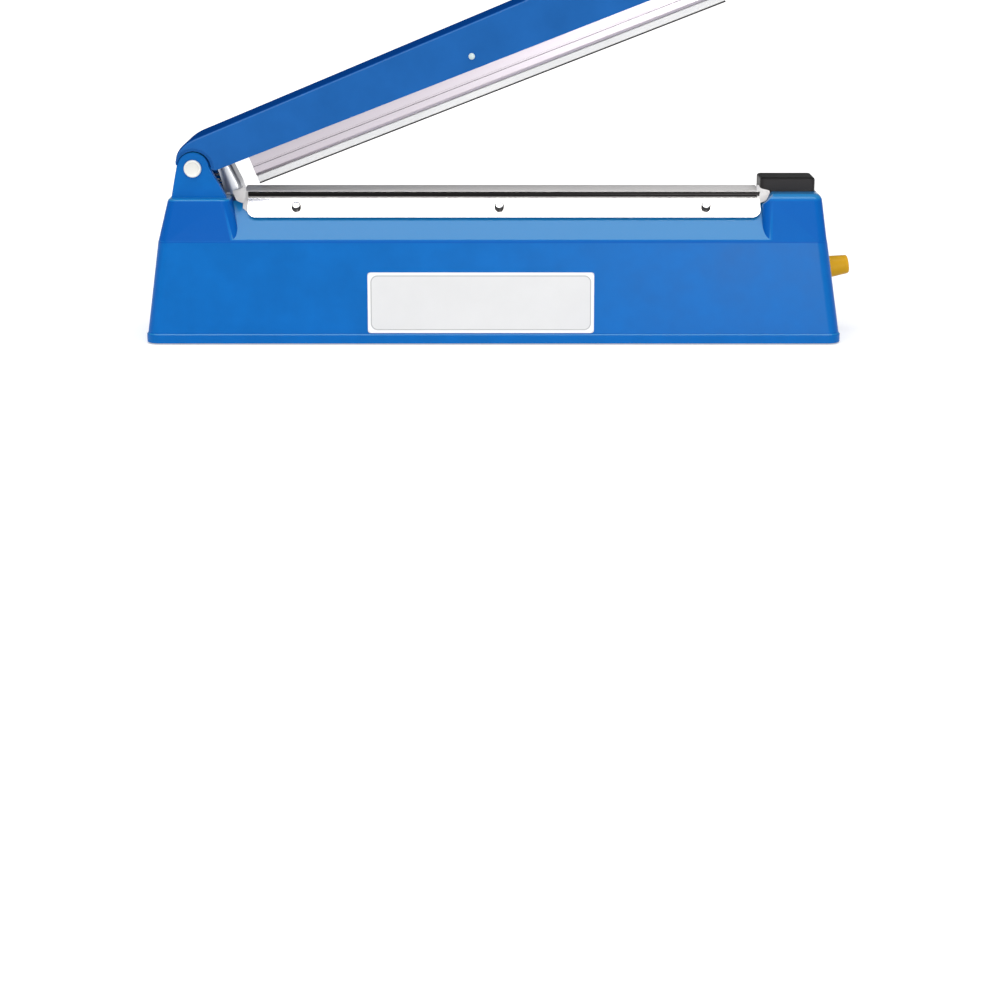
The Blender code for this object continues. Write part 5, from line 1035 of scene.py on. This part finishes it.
def build_clips():
    """The two bent clip plates, with rounded lower corners and a lip along the bed."""
    start, end = along(PLATE_START), along(BED_END)
    low = 2 * FIT + CLOTH_THICKNESS
    high = low + PLATE_THICKNESS
    inner = BED_HALF + low
    outer = inner + PLATE_THICKNESS
    corners = [slope_point(PLATE_REACH, high), slope_point(slope_reach(outer, high), high), (outer, LIP_TOP),
               (inner, LIP_TOP), slope_point(slope_reach(inner, low), low), slope_point(PLATE_REACH, low)]
    sizes = [size * MM for size in (0.2, 1.6, 0.3, 0.3, 0.9, 0.2)]
    plate = pulled("clip_front", eased([(-y, z) for y, z in corners], sizes, 4), 'X', start, end)
    holes = [pin("hole", seat + normal * 3 * MM, seat - normal * 3 * MM, 1.7 * MM, 32)
             for seat, normal in screw_seats(-1)]
    cut(plate, *corner_tools(start, end, PLATE_REACH, 5.6 * MM, 12), one_tool("clip_holes", holes))
    round_off(plate, 0.14 * MM, 2, angle=50)
    back = mirrored(plate, "clip_back")
    dress(plate, CLIP_SHEET, "base", "bright_plate", "clip_plate_front")
    dress(back, CLIP_SHEET, "base", "bright_plate", "clip_plate_back")


def build_cloth():
    """The cover cloth over the bed, tucked under both clip plates, with its loose end at the tower."""
    start, end = along(BED_START), along(BED_END)
    half, top, foot = BED_HALF + FIT, LIP_TOP, PLATE_REACH + 1.2 * MM
    sides = []
    for lift in (FIT, FIT + CLOTH_THICKNESS):
        off = lift - FIT
        sides.append([slope_point(foot, lift), slope_point(slope_reach(half + off, lift), lift),
                      (half + off, top + off)])
    inside, outside = sides
    line = [(-y, z) for y, z in outside] + [(y, z) for y, z in reversed(outside)]
    line += inside + [(-y, z) for y, z in reversed(inside)]
    sizes = [size * MM for size in (0, 1.2, 0.9, 0.9, 1.2, 0, 0, 0.9, 0.6, 0.6, 0.9, 0)]
    cloth = pulled("cloth", eased(line, sizes, 4), 'X', start, end)
    trim = corner_tools(start, end, foot, 6.5 * MM, 1)
    holes = [pin("hole", seat + normal * 3 * MM, seat - normal * 5 * MM, 1.7 * MM, 24)
             for seat, normal in screw_seats(-1)]
    front = one_tool("cloth_front", trim + holes)
    back = mirrored(front, "cloth_back")
    cut(cloth, front, back)
    folds = [build_fold("cloth_fold", lambda x: x),
             build_fold("cloth_tuck", lambda x: BED_START + BED_END - x)]
    dress(cloth, CLOTH, "base", "cover_cloth", "cover_cloth")


def build_fold(name, place):
    """A loose end of the cloth, folded up between the bed's end and the tower beside it."""
    rows = [
        [(369.0, -14.2, 92.6), (368.9, -14.0, 89.0), (369.2, -14.2, 85.6), (370.0, -16.6, 82.0)],
        [(370.4, -13.6, 92.2), (370.5, -13.5, 88.6), (370.8, -14.2, 85.0), (371.0, -17.6, 81.8)],
        [(370.9, -13.2, 90.2), (372.0, -13.6, 88.0), (372.2, -15.6, 85.0), (372.0, -19.4, 82.6)],
        [(373.6, -13.2, 89.4), (374.2, -14.6, 87.4), (373.8, -17.4, 85.2), (373.0, -21.4, 83.4)],
        [(377.4, -14.2, 88.8), (376.6, -16.4, 87.4), (375.4, -19.2, 86.0), (374.0, -22.6, 84.4)],
    ]
    bm = bmesh.new()
    grid = [[bm.verts.new((along(place(x * MM)), y * MM, up(z * MM))) for x, y, z in row] for row in rows]
    for near, far in zip(grid, grid[1:]):
        for i in range(3):
            bm.faces.new((near[i], near[i + 1], far[i + 1], far[i]))
    fold = hold(mesh_of(name, bm), name)
    smooth = fold.modifiers.new("smooth", 'SUBSURF')
    smooth.levels = smooth.render_levels = 2
    thick = fold.modifiers.new("thick", 'SOLIDIFY')
    thick.thickness = CLOTH_THICKNESS
    thick.offset = 0
    settle(fold)
    return dress(fold, CLOTH, "base", "cover_cloth")


# Screws, springs and hinge pin

SCREW_MESHES = {}


def screw(name, size, seat, direction, body, node, matrix=None):
    """A cross-recessed screw: head radius and height, shank radius and length."""
    if size not in SCREW_MESHES:
        radius, height, shank, length = [part * MM for part in size]
        crown = 0.66 * radius
        dome = [(crown + (radius - crown) * sin(a), 0.3 * MM + height * (0.4 + 0.6 * cos(a)))
                for a in (radians(degrees) for degrees in (0, 20, 40, 60, 80))]
        thread = []
        for turn in range(int(length / (0.7 * MM))):
            depth = -turn * 0.7 * MM
            thread += [(shank, depth - 0.1 * MM), (shank, depth - 0.3 * MM), (shank * 0.82, depth - 0.5 * MM)]
        profile = [(0, 0.3 * MM + height), *dome, (radius, 0.3 * MM + height * 0.4), (radius, 0.05 * MM),
                   (shank, 0.05 * MM), *thread, (0, -length)]
        made = lathed("screw", profile, 32)
        deep = 0.3 * MM + height * 0.45
        for turn in (0, pi / 2):
            mouth, floor, half = radius * 0.5, radius * 0.3, radius * 0.09
            slot = pulled("slot", [(-mouth, deep + height), (-floor, deep), (floor, deep),
                                   (mouth, deep + height)], 'Y', -half, half)
            slot.data.transform(Matrix.Rotation(turn + 0.35, 4, 'Z'))
            cut(made, slot)
        SCREW_MESHES[size] = made.data.copy()
        bpy.data.objects.remove(made)
    place = facing(seat, direction)
    made = hold(SCREW_MESHES[size].copy(), name, matrix @ place if matrix is not None else place)
    return dress(made, SCREW_STEEL, body, "plain_steel", node)


def build_clip_screws():
    for side, sign in (("front", -1), ("back", 1)):
        for number, (seat, normal) in enumerate(screw_seats(sign), 1):
            screw(f"plate_screw_{side}_{number}", CLIP_SCREW, seat, normal, "base",
                  f"clip_screw_{side}_{number}")


def coil(name, height, mean, wire, turns, matrix):
    """A compression spring of round wire on its own Z, with a closed turn at each end."""
    per_turn, around = 24, 10
    steps = int(turns * per_turn)
    closed = 0.8 / turns
    dead = wire * 0.8
    rings = []
    for i in range(steps + 1):
        share = i / steps
        if share < closed:
            z = dead * share / closed
        elif share > 1 - closed:
            z = height - wire - dead * (1 - share) / closed
        else:
            z = dead + (height - wire - 2 * dead) * (share - closed) / (1 - 2 * closed)
        angle = 2 * pi * turns * share
        out = Vector((cos(angle), sin(angle), 0))
        middle = out * mean + Vector((0, 0, z + wire / 2))
        rings.append([middle + (out * cos(a) + Vector((0, 0, sin(a)))) * (wire / 2)
                      for a in (2 * pi * j / around for j in range(around))])
    return skinned(name, rings, matrix)


def build_hinge():
    """The pin through both ears, and a dished cap over each end."""
    end = EAR_FACE + FIT + 1.1 * MM
    edge = 0.4 * MM
    place = facing((PIN_X, -end, PIN_Z), (0, 1, 0))
    made = lathed("pin", [(0, 0), (PIN_RADIUS - edge, 0), (PIN_RADIUS, edge), (PIN_RADIUS, 2 * end - edge),
                          (PIN_RADIUS - edge, 2 * end), (0, 2 * end)], 48, place)
    dress(made, STEEL, "base", "plain_steel", "hinge_pin")
    profile = [(0, 1.9), (3.5, 1.9), (3.8, 2.0), (4.05, 2.25), (4.45, 2.3), (4.85, 2.2), (5.1, 1.9),
               (5.2, 1.5), (5.2, 0), (3.3, 0), (3.3, 1.4), (0, 1.4)]
    for side, sign in (("front", -1), ("back", 1)):
        place = facing((PIN_X, sign * (EAR_FACE + FIT), PIN_Z), (0, sign, 0))
        made = lathed("cap_" + side, [(r * MM, z * MM) for r, z in profile], 64, place)
        dress(made, CREAM, "base", "cream_plastic", "hinge_cap_" + side)


def build_guard():
    """The bent bright sheet in front of the lifting spring, its screw, and the spring."""
    right, sheet, half, corner = along(57.8 * MM), 1.2 * MM, 10 * MM, 3.2 * MM
    foot, tower = up(PLATEAU_HEIGHT) + FIT, up(HINGE_TOWER_TOP) + FIT
    bend, top = up(90.8 * MM), up(104.3 * MM)
    lean = (top - bend) * tan(radians(26))
    low_left, high_left = right - 10.5 * MM, right - lean - 9 * MM
    front = eased([(right, foot), (right, bend), (right - lean, top)], (0, 3.5 * MM, 0), 6, closed=False)
    stations = [(right, foot, right - 4.4 * MM), (right, tower, right - 4.4 * MM), (right, tower, low_left)]
    stations += [(x, z, low_left + (high_left - low_left) * (z - tower) / (top - tower))
                 for x, z in front[1:]]
    rings = []
    for x, z, left in stations:
        curve = min(9 * MM, (x - corner - left) / 0.75)
        halves = []
        for off in (0, sheet):
            bow = arc((left + 0.707 * curve, half - curve), curve - off, 135, 90, 6)
            turn = arc((x - corner, half - corner), corner - off, 90, 0, 6)
            halves.append(bow + turn)
        outer = [(u, -v) for u, v in halves[0]] + halves[0][::-1]
        inner = halves[1] + [(u, -v) for u, v in reversed(halves[1])]
        rings.append([(u, v, z) for u, v in outer + inner])
    guard = skinned("guard", rings)
    join(guard, block("guard_tab", (right - 9.6 * MM, -half + 0.6 * MM, tower),
                      (right - 0.6 * MM, half - 0.6 * MM, tower + sheet)))
    screw_x = along(49.8 * MM)
    cut(guard, pin("hole", (screw_x, 0, tower - MM), (screw_x, 0, tower + 3 * MM), 1.4 * MM, 24))
    round_off(guard, 0.18 * MM, 2, angle=50)
    dress(guard, GUARD_SHEET, "base", "bright_plate", "spring_guard")
    screw("guard_fixing", SMALL_SCREW, (screw_x, 0, tower + sheet), (0, 0, 1), "base", "guard_screw")
    spring_foot = Vector((along(41.4 * MM), 0, tower))
    spring = coil("lifting_spring", 21.4 * MM, 4.5 * MM, 1.3 * MM, 7, Matrix.Translation(spring_foot))
    dress(spring, STEEL, "base", "plain_steel", "lift_spring")
    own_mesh(spring)


# Press bar and its bracket


def both_sides(side):
    """A section's right half and its mirror."""
    return side + [(-y, z) for y, z in reversed(side)]


def stud_places():
    return [(number, BRACKET_MIDDLE + side * 14 * MM) for number, side in ((1, -1), (2, 1))]


def build_press_bar():
    """The grooved aluminium bar, its silicone strip and facing tape, studs and springs."""
    side = [(5.5, -6.8), (5.5, 0), (7, 0), (7, -6.2), (5.9, -6.2), (5.9, -7.3), (7, -7.3), (7, -11.3),
            (5.9, -12.9), (4, -12.9), (4, -11.4)]
    sizes = (0.3, 0.3, 0.5, 0.15, 0.1, 0.1, 0.15, 0.4, 0.3, 0.3, 0.3)
    points = both_sides([(y * MM, z * MM) for y, z in side])
    line = eased(points, [size * MM for size in sizes + sizes[::-1]], 3)
    bar = pulled("bar", line, 'X', 0, BAR_LENGTH)
    sockets = [pin("socket", (x - BAR_REAR, 0, -9.5 * MM), (x - BAR_REAR, 0, -6 * MM), 1.9 * MM, 24)
               for number, x in stud_places()]
    cut(bar, one_tool("sockets", sockets))
    bar.matrix_world = BAR_FRAME
    dress(bar, ALUMINIUM, "press_bar", "bar_aluminium", "press_bar")
    side = [(3.7, -11.7), (3.7, -13.1), (5.9, -13.1), (5.9, -17.2)]
    sizes = (0.2, 0.2, 0.6, 0.6)
    points = both_sides([(y * MM, z * MM) for y, z in side])
    line = eased(points, [size * MM for size in sizes + sizes[::-1]], 4)
    strip = pulled("silicone", line, 'X', 0, BAR_LENGTH, BAR_FRAME)
    round_off(strip, 0.3 * MM, 3, angle=50)
    dress(strip, SILICONE, "press_bar", "white_silicone", "silicone_strip")
    line = eased(both_sides([(6 * MM, -18 * MM), (6 * MM, -17.3 * MM)]), [0.25 * MM] * 4, 3)
    tape = pulled("tape", line, 'X', 0, BAR_LENGTH, BAR_FRAME)
    dress(tape, TAPE, "press_bar", "dark_tape", "facing_tape")
    profile = [(0, 13.5), (2.4, 13.5), (2.9, 13.1), (2.9, 11.9), (1.6, 11.9), (1.6, -9.0), (1.4, -9.2),
               (0, -9.2)]
    for number, x in stud_places():
        made = lathed(f"stud_{number}", [(r * MM, z * MM) for r, z in profile], 32,
                      BAR_FRAME @ Matrix.Translation((x - BAR_REAR, 0, 0)))
        dress(made, STEEL, "press_bar", "plain_steel", f"bar_stud_{number}")
        foot = Matrix.Translation((x - BAR_REAR, 0, -6.5 * MM))
        spring = coil(f"bar_coil_{number}", 16.6 * MM, 3.4 * MM, 0.9 * MM, 6, BAR_FRAME @ foot)
        dress(spring, STEEL, "press_bar", "plain_steel", f"bar_spring_{number}")
        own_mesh(spring)


def build_bracket():
    """The bent bracket inside the arm, its rivets, and the handle's screws."""
    half, top, sheet, leg = 20.9 * MM, 5.4 * MM, 1.2 * MM, -3.4 * MM
    under = top - sheet
    right = [(half, leg), (half, top)]
    inside = [(half - sheet, under), (half - sheet, leg)]
    points = both_sides(right) + [(-y, z) for y, z in reversed(inside)] + inside
    sizes = [size * MM for size in (0.2, 1.9, 1.9, 0.2, 0.2, 0.9, 0.9, 0.2)]
    start = BRACKET_MIDDLE - 22 * MM
    made = pulled("bracket", eased(points, sizes, 5), 'X', start, start + 44 * MM)
    holes = [pin("hole", (x, 0, 0), (x, 0, 9 * MM), 2 * MM, 24) for number, x in stud_places()]
    holes += [pin("hole", (BRACKET_MIDDLE, side * 15 * MM, 1.7 * MM),
                  (BRACKET_MIDDLE, side * 25 * MM, 1.7 * MM), 1.8 * MM, 24) for side in (-1, 1)]
    cut(made, one_tool("bracket_holes", holes))
    round_off(made, 0.18 * MM, 2, angle=50)
    made.matrix_world = ARM_FRAME
    dress(made, STEEL, "arm", "plain_steel", "bar_bracket")
    profile = [(0, 1.1), (0.8, 1.05), (1.4, 0.85), (1.8, 0.55), (1.9, 0.05), (1.5, 0.05), (1.5, -4),
               (1.9, -4), (1.8, -4.3), (1.4, -4.4), (0, -4.4)]
    for side, sign in (("front", -1), ("back", 1)):
        place = ARM_FRAME @ facing((BRACKET_MIDDLE, sign * ARM_HALF, 1.7 * MM), (0, sign, 0))
        made = lathed("rivet_" + side, [(r * MM, z * MM) for r, z in profile], 32, place)
        dress(made, RIVET, "arm", "plain_steel", "pivot_rivet_" + side)
    for number, share in enumerate(GRIP_SCREW_SHARES, 1):
        x = GRIP_REAR + share * GRIP_LENGTH
        screw(f"grip_screw_{number}", SMALL_SCREW, (x, 0, arm_top(x) - ARM_WALL), (0, 0, -1), "arm",
              f"handle_screw_{number}", ARM_FRAME)


# Switch and timer


def build_button():
    """The black button with its stem, the groove for its snap ring, and its spring."""
    left, right = along(BUTTON_START), along(BUTTON_END)
    low, top, half, edge = up(BUTTON_BOTTOM), up(BUTTON_TOP), 12 * MM, 1.6 * MM
    rings = [level_ring(low, left + 0.3 * MM, right - 0.3 * MM, half - 0.3 * MM, 2.2 * MM),
             level_ring(low + 0.3 * MM, left, right, half, 2.5 * MM)]
    for step in range(9):
        angle = pi / 2 * step / 8
        inset = edge * (1 - cos(angle))
        rings.append(level_ring(top - edge * (1 - sin(angle)), left + inset, right - inset, half - inset,
                                2.5 * MM - inset))
    made = skinned("button", rings)
    x = along(STEM_FROM_LEFT)
    cut(made, pin("pocket", (x, 0, low - MM), (x, 0, low + 4 * MM), 6.4 * MM, 48))
    join(made, pin("stem", (x, 0, up(76.4 * MM)), (x, 0, low + 6 * MM), 3 * MM, 40))
    groove = lathed("groove", [(2.2 * MM, 82.1 * MM), (6 * MM, 82.1 * MM), (6 * MM, 83.7 * MM),
                               (2.2 * MM, 83.7 * MM), (2.2 * MM, 82.1 * MM)], 48,
                    Matrix.Translation((x, 0, up(0))))
    cut(made, groove)
    dress(made, BLACK, "switch_button", "black_plastic", "switch_button")
    foot = Vector((x, 0, up(WELL_FLOOR) + FIT))
    spring = coil("button_coil", 5 * MM, 4.8 * MM, 0.8 * MM, 3.5, Matrix.Translation(foot))
    dress(spring, STEEL, "base", "plain_steel", "button_spring")
    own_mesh(spring)


def build_knob():
    """The yellow timer knob: a plain taper with a rounded tip and a moulded pointer line."""
    wall, axis = timer_place()
    tip = arc((4.1 * MM, 12.65 * MM), 1.6 * MM, 90, 8, 8)
    profile = [(0, 14.25 * MM), (2 * MM, 14.25 * MM), *tip, (6.75 * MM, 1.1 * MM), (6.9 * MM, 0.7 * MM),
               (6.7 * MM, 0.4 * MM), (5.7 * MM, 0.4 * MM), (5.7 * MM, 4.6 * MM), (3.3 * MM, 4.6 * MM),
               (3.3 * MM, 9.4 * MM), (0, 9.4 * MM)]
    knob = lathed("knob", profile, 96)
    line = block("pointer", (2.2 * MM, -0.4 * MM, 13.85 * MM), (9 * MM, 0.4 * MM, 16 * MM))
    cut(knob, line)
    knob.matrix_world = facing(wall, axis)
    dress(knob, YELLOW, "timer_knob", "knob_plastic", "timer_knob")


# Label, bottom and gland


def build_label():
    """The front label, a thin film with nothing printed on it but its border."""
    middle = (LABEL_LOW + LABEL_HIGH) / 2
    y = BASE_HALF - SKIRT_PROUD - (middle - SKIRT_HEIGHT) * tan(FRONT_LEAN)
    off = 0.05 * MM + LABEL_THICKNESS / 2
    place = Vector((along(0.482 * BASE_LENGTH), -y - off * cos(FRONT_LEAN),
                    up(middle) + off * sin(FRONT_LEAN)))
    half_width = (LABEL_HIGH - LABEL_LOW) / 2
    points = []
    for x, z, quarter in ((1, 1, 0), (-1, 1, 1), (-1, -1, 2), (1, -1, 3)):
        centre = (x * (LABEL_HALF - LABEL_CORNER), z * (half_width - LABEL_CORNER))
        points += arc(centre, LABEL_CORNER, quarter * 90, quarter * 90 + 90, 6)
    made = pulled("label", points, 'Y', -LABEL_THICKNESS / 2, LABEL_THICKNESS / 2)
    round_off(made, 0.08 * MM, 2, angle=50)
    made.matrix_world = Matrix.Translation(place) @ Matrix.Rotation(-FRONT_LEAN, 4, 'X')
    dress(made, LABEL, "base", "label_film", "front_label")


def build_bottom():
    """The bottom plate with its standoffs, and the four feet and their screws."""
    left, right = along(3.6 * MM), along(416.4 * MM)
    half = BASE_HALF - SKIRT_PROUD - WALL / cos(FRONT_LEAN) - FIT
    edge = 0.3 * MM
    low, high = up(3 * MM), up(5 * MM)
    rows = [(low, edge), (low + edge, 0), (high - edge, 0), (high, edge)]
    plate = skinned("floor_plate", [level_ring(z, left + inset, right - inset, half - inset, 5.5 * MM - inset)
                                    for z, inset in rows])
    x = along(0.655 * BASE_LENGTH)
    posts = [pin("standoff", (x + sx * 33 * MM, sy * 18 * MM, low + MM),
                 (x + sx * 33 * MM, sy * 18 * MM, up(14.7 * MM)), 3 * MM, 24)
             for sx in (-1, 1) for sy in (-1, 1)]
    join(plate, one_tool("standoffs", posts))
    holes = [pin("hole", (x, y, low - MM), (x, y, high + MM), 2 * MM, 24) for x, y in post_places()]
    cut(plate, one_tool("plate_holes", holes))
    dress(plate, PLATE_STEEL, "base", "plain_steel", "bottom_plate")
    profile = [(2.2, 3.75), (7.6, 3.75), (8, 3.4), (8, 0.9), (7.8, 0.35), (7.2, 0), (4.4, 0), (4, 0.4),
               (4, 2.2), (2.2, 2.2), (2.2, 3.75)]
    for x, y in post_places():
        name = ("front" if y < 0 else "back") + ("_left" if x < 0 else "_right")
        made = lathed("rubber_" + name, [(r * MM, z * MM) for r, z in profile], 48,
                      Matrix.Translation((x, y, 0)))
        dress(made, RUBBER, "base", "black_rubber", "foot_" + name)
        screw("sole_screw_" + name, FOOT_SCREW, (x, y, 2.2 * MM), (0, 0, -1), "base", f"foot_{name}_screw")


def build_gland():
    """The rubber gland in the back wall, fluted so that fingers can turn it."""
    place, outward = gland_place()
    profile = [(2.8, 1.6), (3.1, 1.9), (5.6, 1.9), (6.6, 1.6), (7, 1.1), (7, 0.05), (4.6, 0.05), (4.6, -7.2),
               (4.3, -7.5), (2.8, -7.5), (2.8, 1.6)]
    made = lathed("gland", [(r * MM, z * MM) for r, z in profile], 64)
    flutes = [pin("flute", (7.5 * MM * cos(a), 7.5 * MM * sin(a), 0.6 * MM),
                  (7.5 * MM * cos(a), 7.5 * MM * sin(a), 3 * MM), 0.8 * MM, 12)
              for a in (2 * pi * i / 16 for i in range(16))]
    cut(made, one_tool("flutes", flutes))
    made.matrix_world = facing(place, outward)
    dress(made, RUBBER, "base", "black_rubber", "cord_gland")


# Studio

CAMERA_PLACE = (-0.64 * MM, -1399.17 * MM, 286.04 * MM)
CAMERA_TILT = radians(15.75)
LENS, SENSOR = 82.62, 36

# Name, place, aim, size in metres and power in watts
LAMPS = (
    ("overhead", (0, -0.3, 1.35), (0, -0.02, 0.08), (1.9, 0.5), 9),
    ("front", (-0.4, -2.4, 1.6), (0, 0, 0.08), (2.4, 1.2), 16),
    ("right_sheen", (0.47, -2.2, 0.2), (0.12, 0, 0.05), (0.5, 0.4), 9),
)


def build_floor():
    """A white floor that keeps the sealer's soft shadow."""
    reach = 20
    bm = bmesh.new()
    bm.faces.new([bm.verts.new((x, y, 0)) for x, y in ((-reach, -reach), (reach, -reach), (reach, reach),
                                                      (-reach, reach))])
    floor = hold(mesh_of("floor", bm), "floor")
    made, tree, shader, place = start_finish("floor", 0.9, specular=0.0)
    shader.inputs["Base Color"].default_value = (0.8, 0.8, 0.8, 1)
    shader.inputs["Emission Color"].default_value = (1, 1, 1, 1)
    ray = lay(tree, "ShaderNodeLightPath")
    seen = reckon(tree, 'MAXIMUM', ray.outputs["Is Camera Ray"],
                  reckon(tree, 'MAXIMUM', ray.outputs["Is Glossy Ray"], ray.outputs["Is Transmission Ray"]))
    distance = lay(tree, "ShaderNodeVectorMath", {"operation": 'LENGTH'})
    tree.links.new(place, distance.inputs[0])
    glow = stretch(tree, distance.outputs["Value"], 0.3, 1.2, 0.4, 0.75)
    tree.links.new(reckon(tree, 'MULTIPLY', seen, glow), shader.inputs["Emission Strength"])
    floor.data.materials.append(made)


def build_light():
    """White surroundings that are darker overhead in reflections, and the lamps."""
    world = bpy.data.worlds.new("studio")
    world.use_nodes = True
    tree = world.node_tree
    sky = tree.nodes["Background"]
    sky.inputs["Color"].default_value = (1, 1, 1, 1)
    ray = lay(tree, "ShaderNodeLightPath")
    place = lay(tree, "ShaderNodeTexCoord").outputs["Generated"]
    height = lay(tree, "ShaderNodeSeparateXYZ", vector=place).outputs["Z"]
    shiny = stretch(tree, height, 0.03, 0.12, 1.0, 0.18)
    light = lay(tree, "ShaderNodeMix", factor=ray.outputs["Is Glossy Ray"], a=0.55, b=shiny).outputs[0]
    seen = reckon(tree, 'MAXIMUM', ray.outputs["Is Camera Ray"], ray.outputs["Is Transmission Ray"])
    tree.links.new(reckon(tree, 'MAXIMUM', light, seen), sky.inputs["Strength"])
    bpy.context.scene.world = world
    for name, place, aim, size, power in LAMPS:
        lamp = bpy.data.lights.new(name, 'AREA')
        lamp.shape = 'RECTANGLE'
        lamp.size, lamp.size_y = size
        lamp.energy = power
        made = bpy.data.objects.new(name, lamp)
        made.location = place
        made.rotation_euler = (Vector(place) - Vector(aim)).to_track_quat('Z', 'Y').to_euler()
        bpy.context.scene.collection.objects.link(made)


def build_camera():
    """The photograph's camera: its place, downward tilt and lens."""
    eye = bpy.data.cameras.new("camera")
    eye.lens = LENS
    eye.sensor_width = SENSOR
    camera = bpy.data.objects.new("camera", eye)
    camera.location = CAMERA_PLACE
    camera.rotation_euler = (pi / 2 - CAMERA_TILT, 0, 0)
    bpy.context.scene.collection.objects.link(camera)
    bpy.context.scene.camera = camera
    bpy.context.scene.view_settings.view_transform = 'Standard'


build_camera()
build_light()
build_floor()
finish_nodes()
build_housing()
build_arm()
build_grip()
build_clips()
build_cloth()
build_clip_screws()
build_hinge()
build_guard()
build_press_bar()
build_bracket()
build_button()
build_knob()
build_label()
build_bottom()
build_gland()
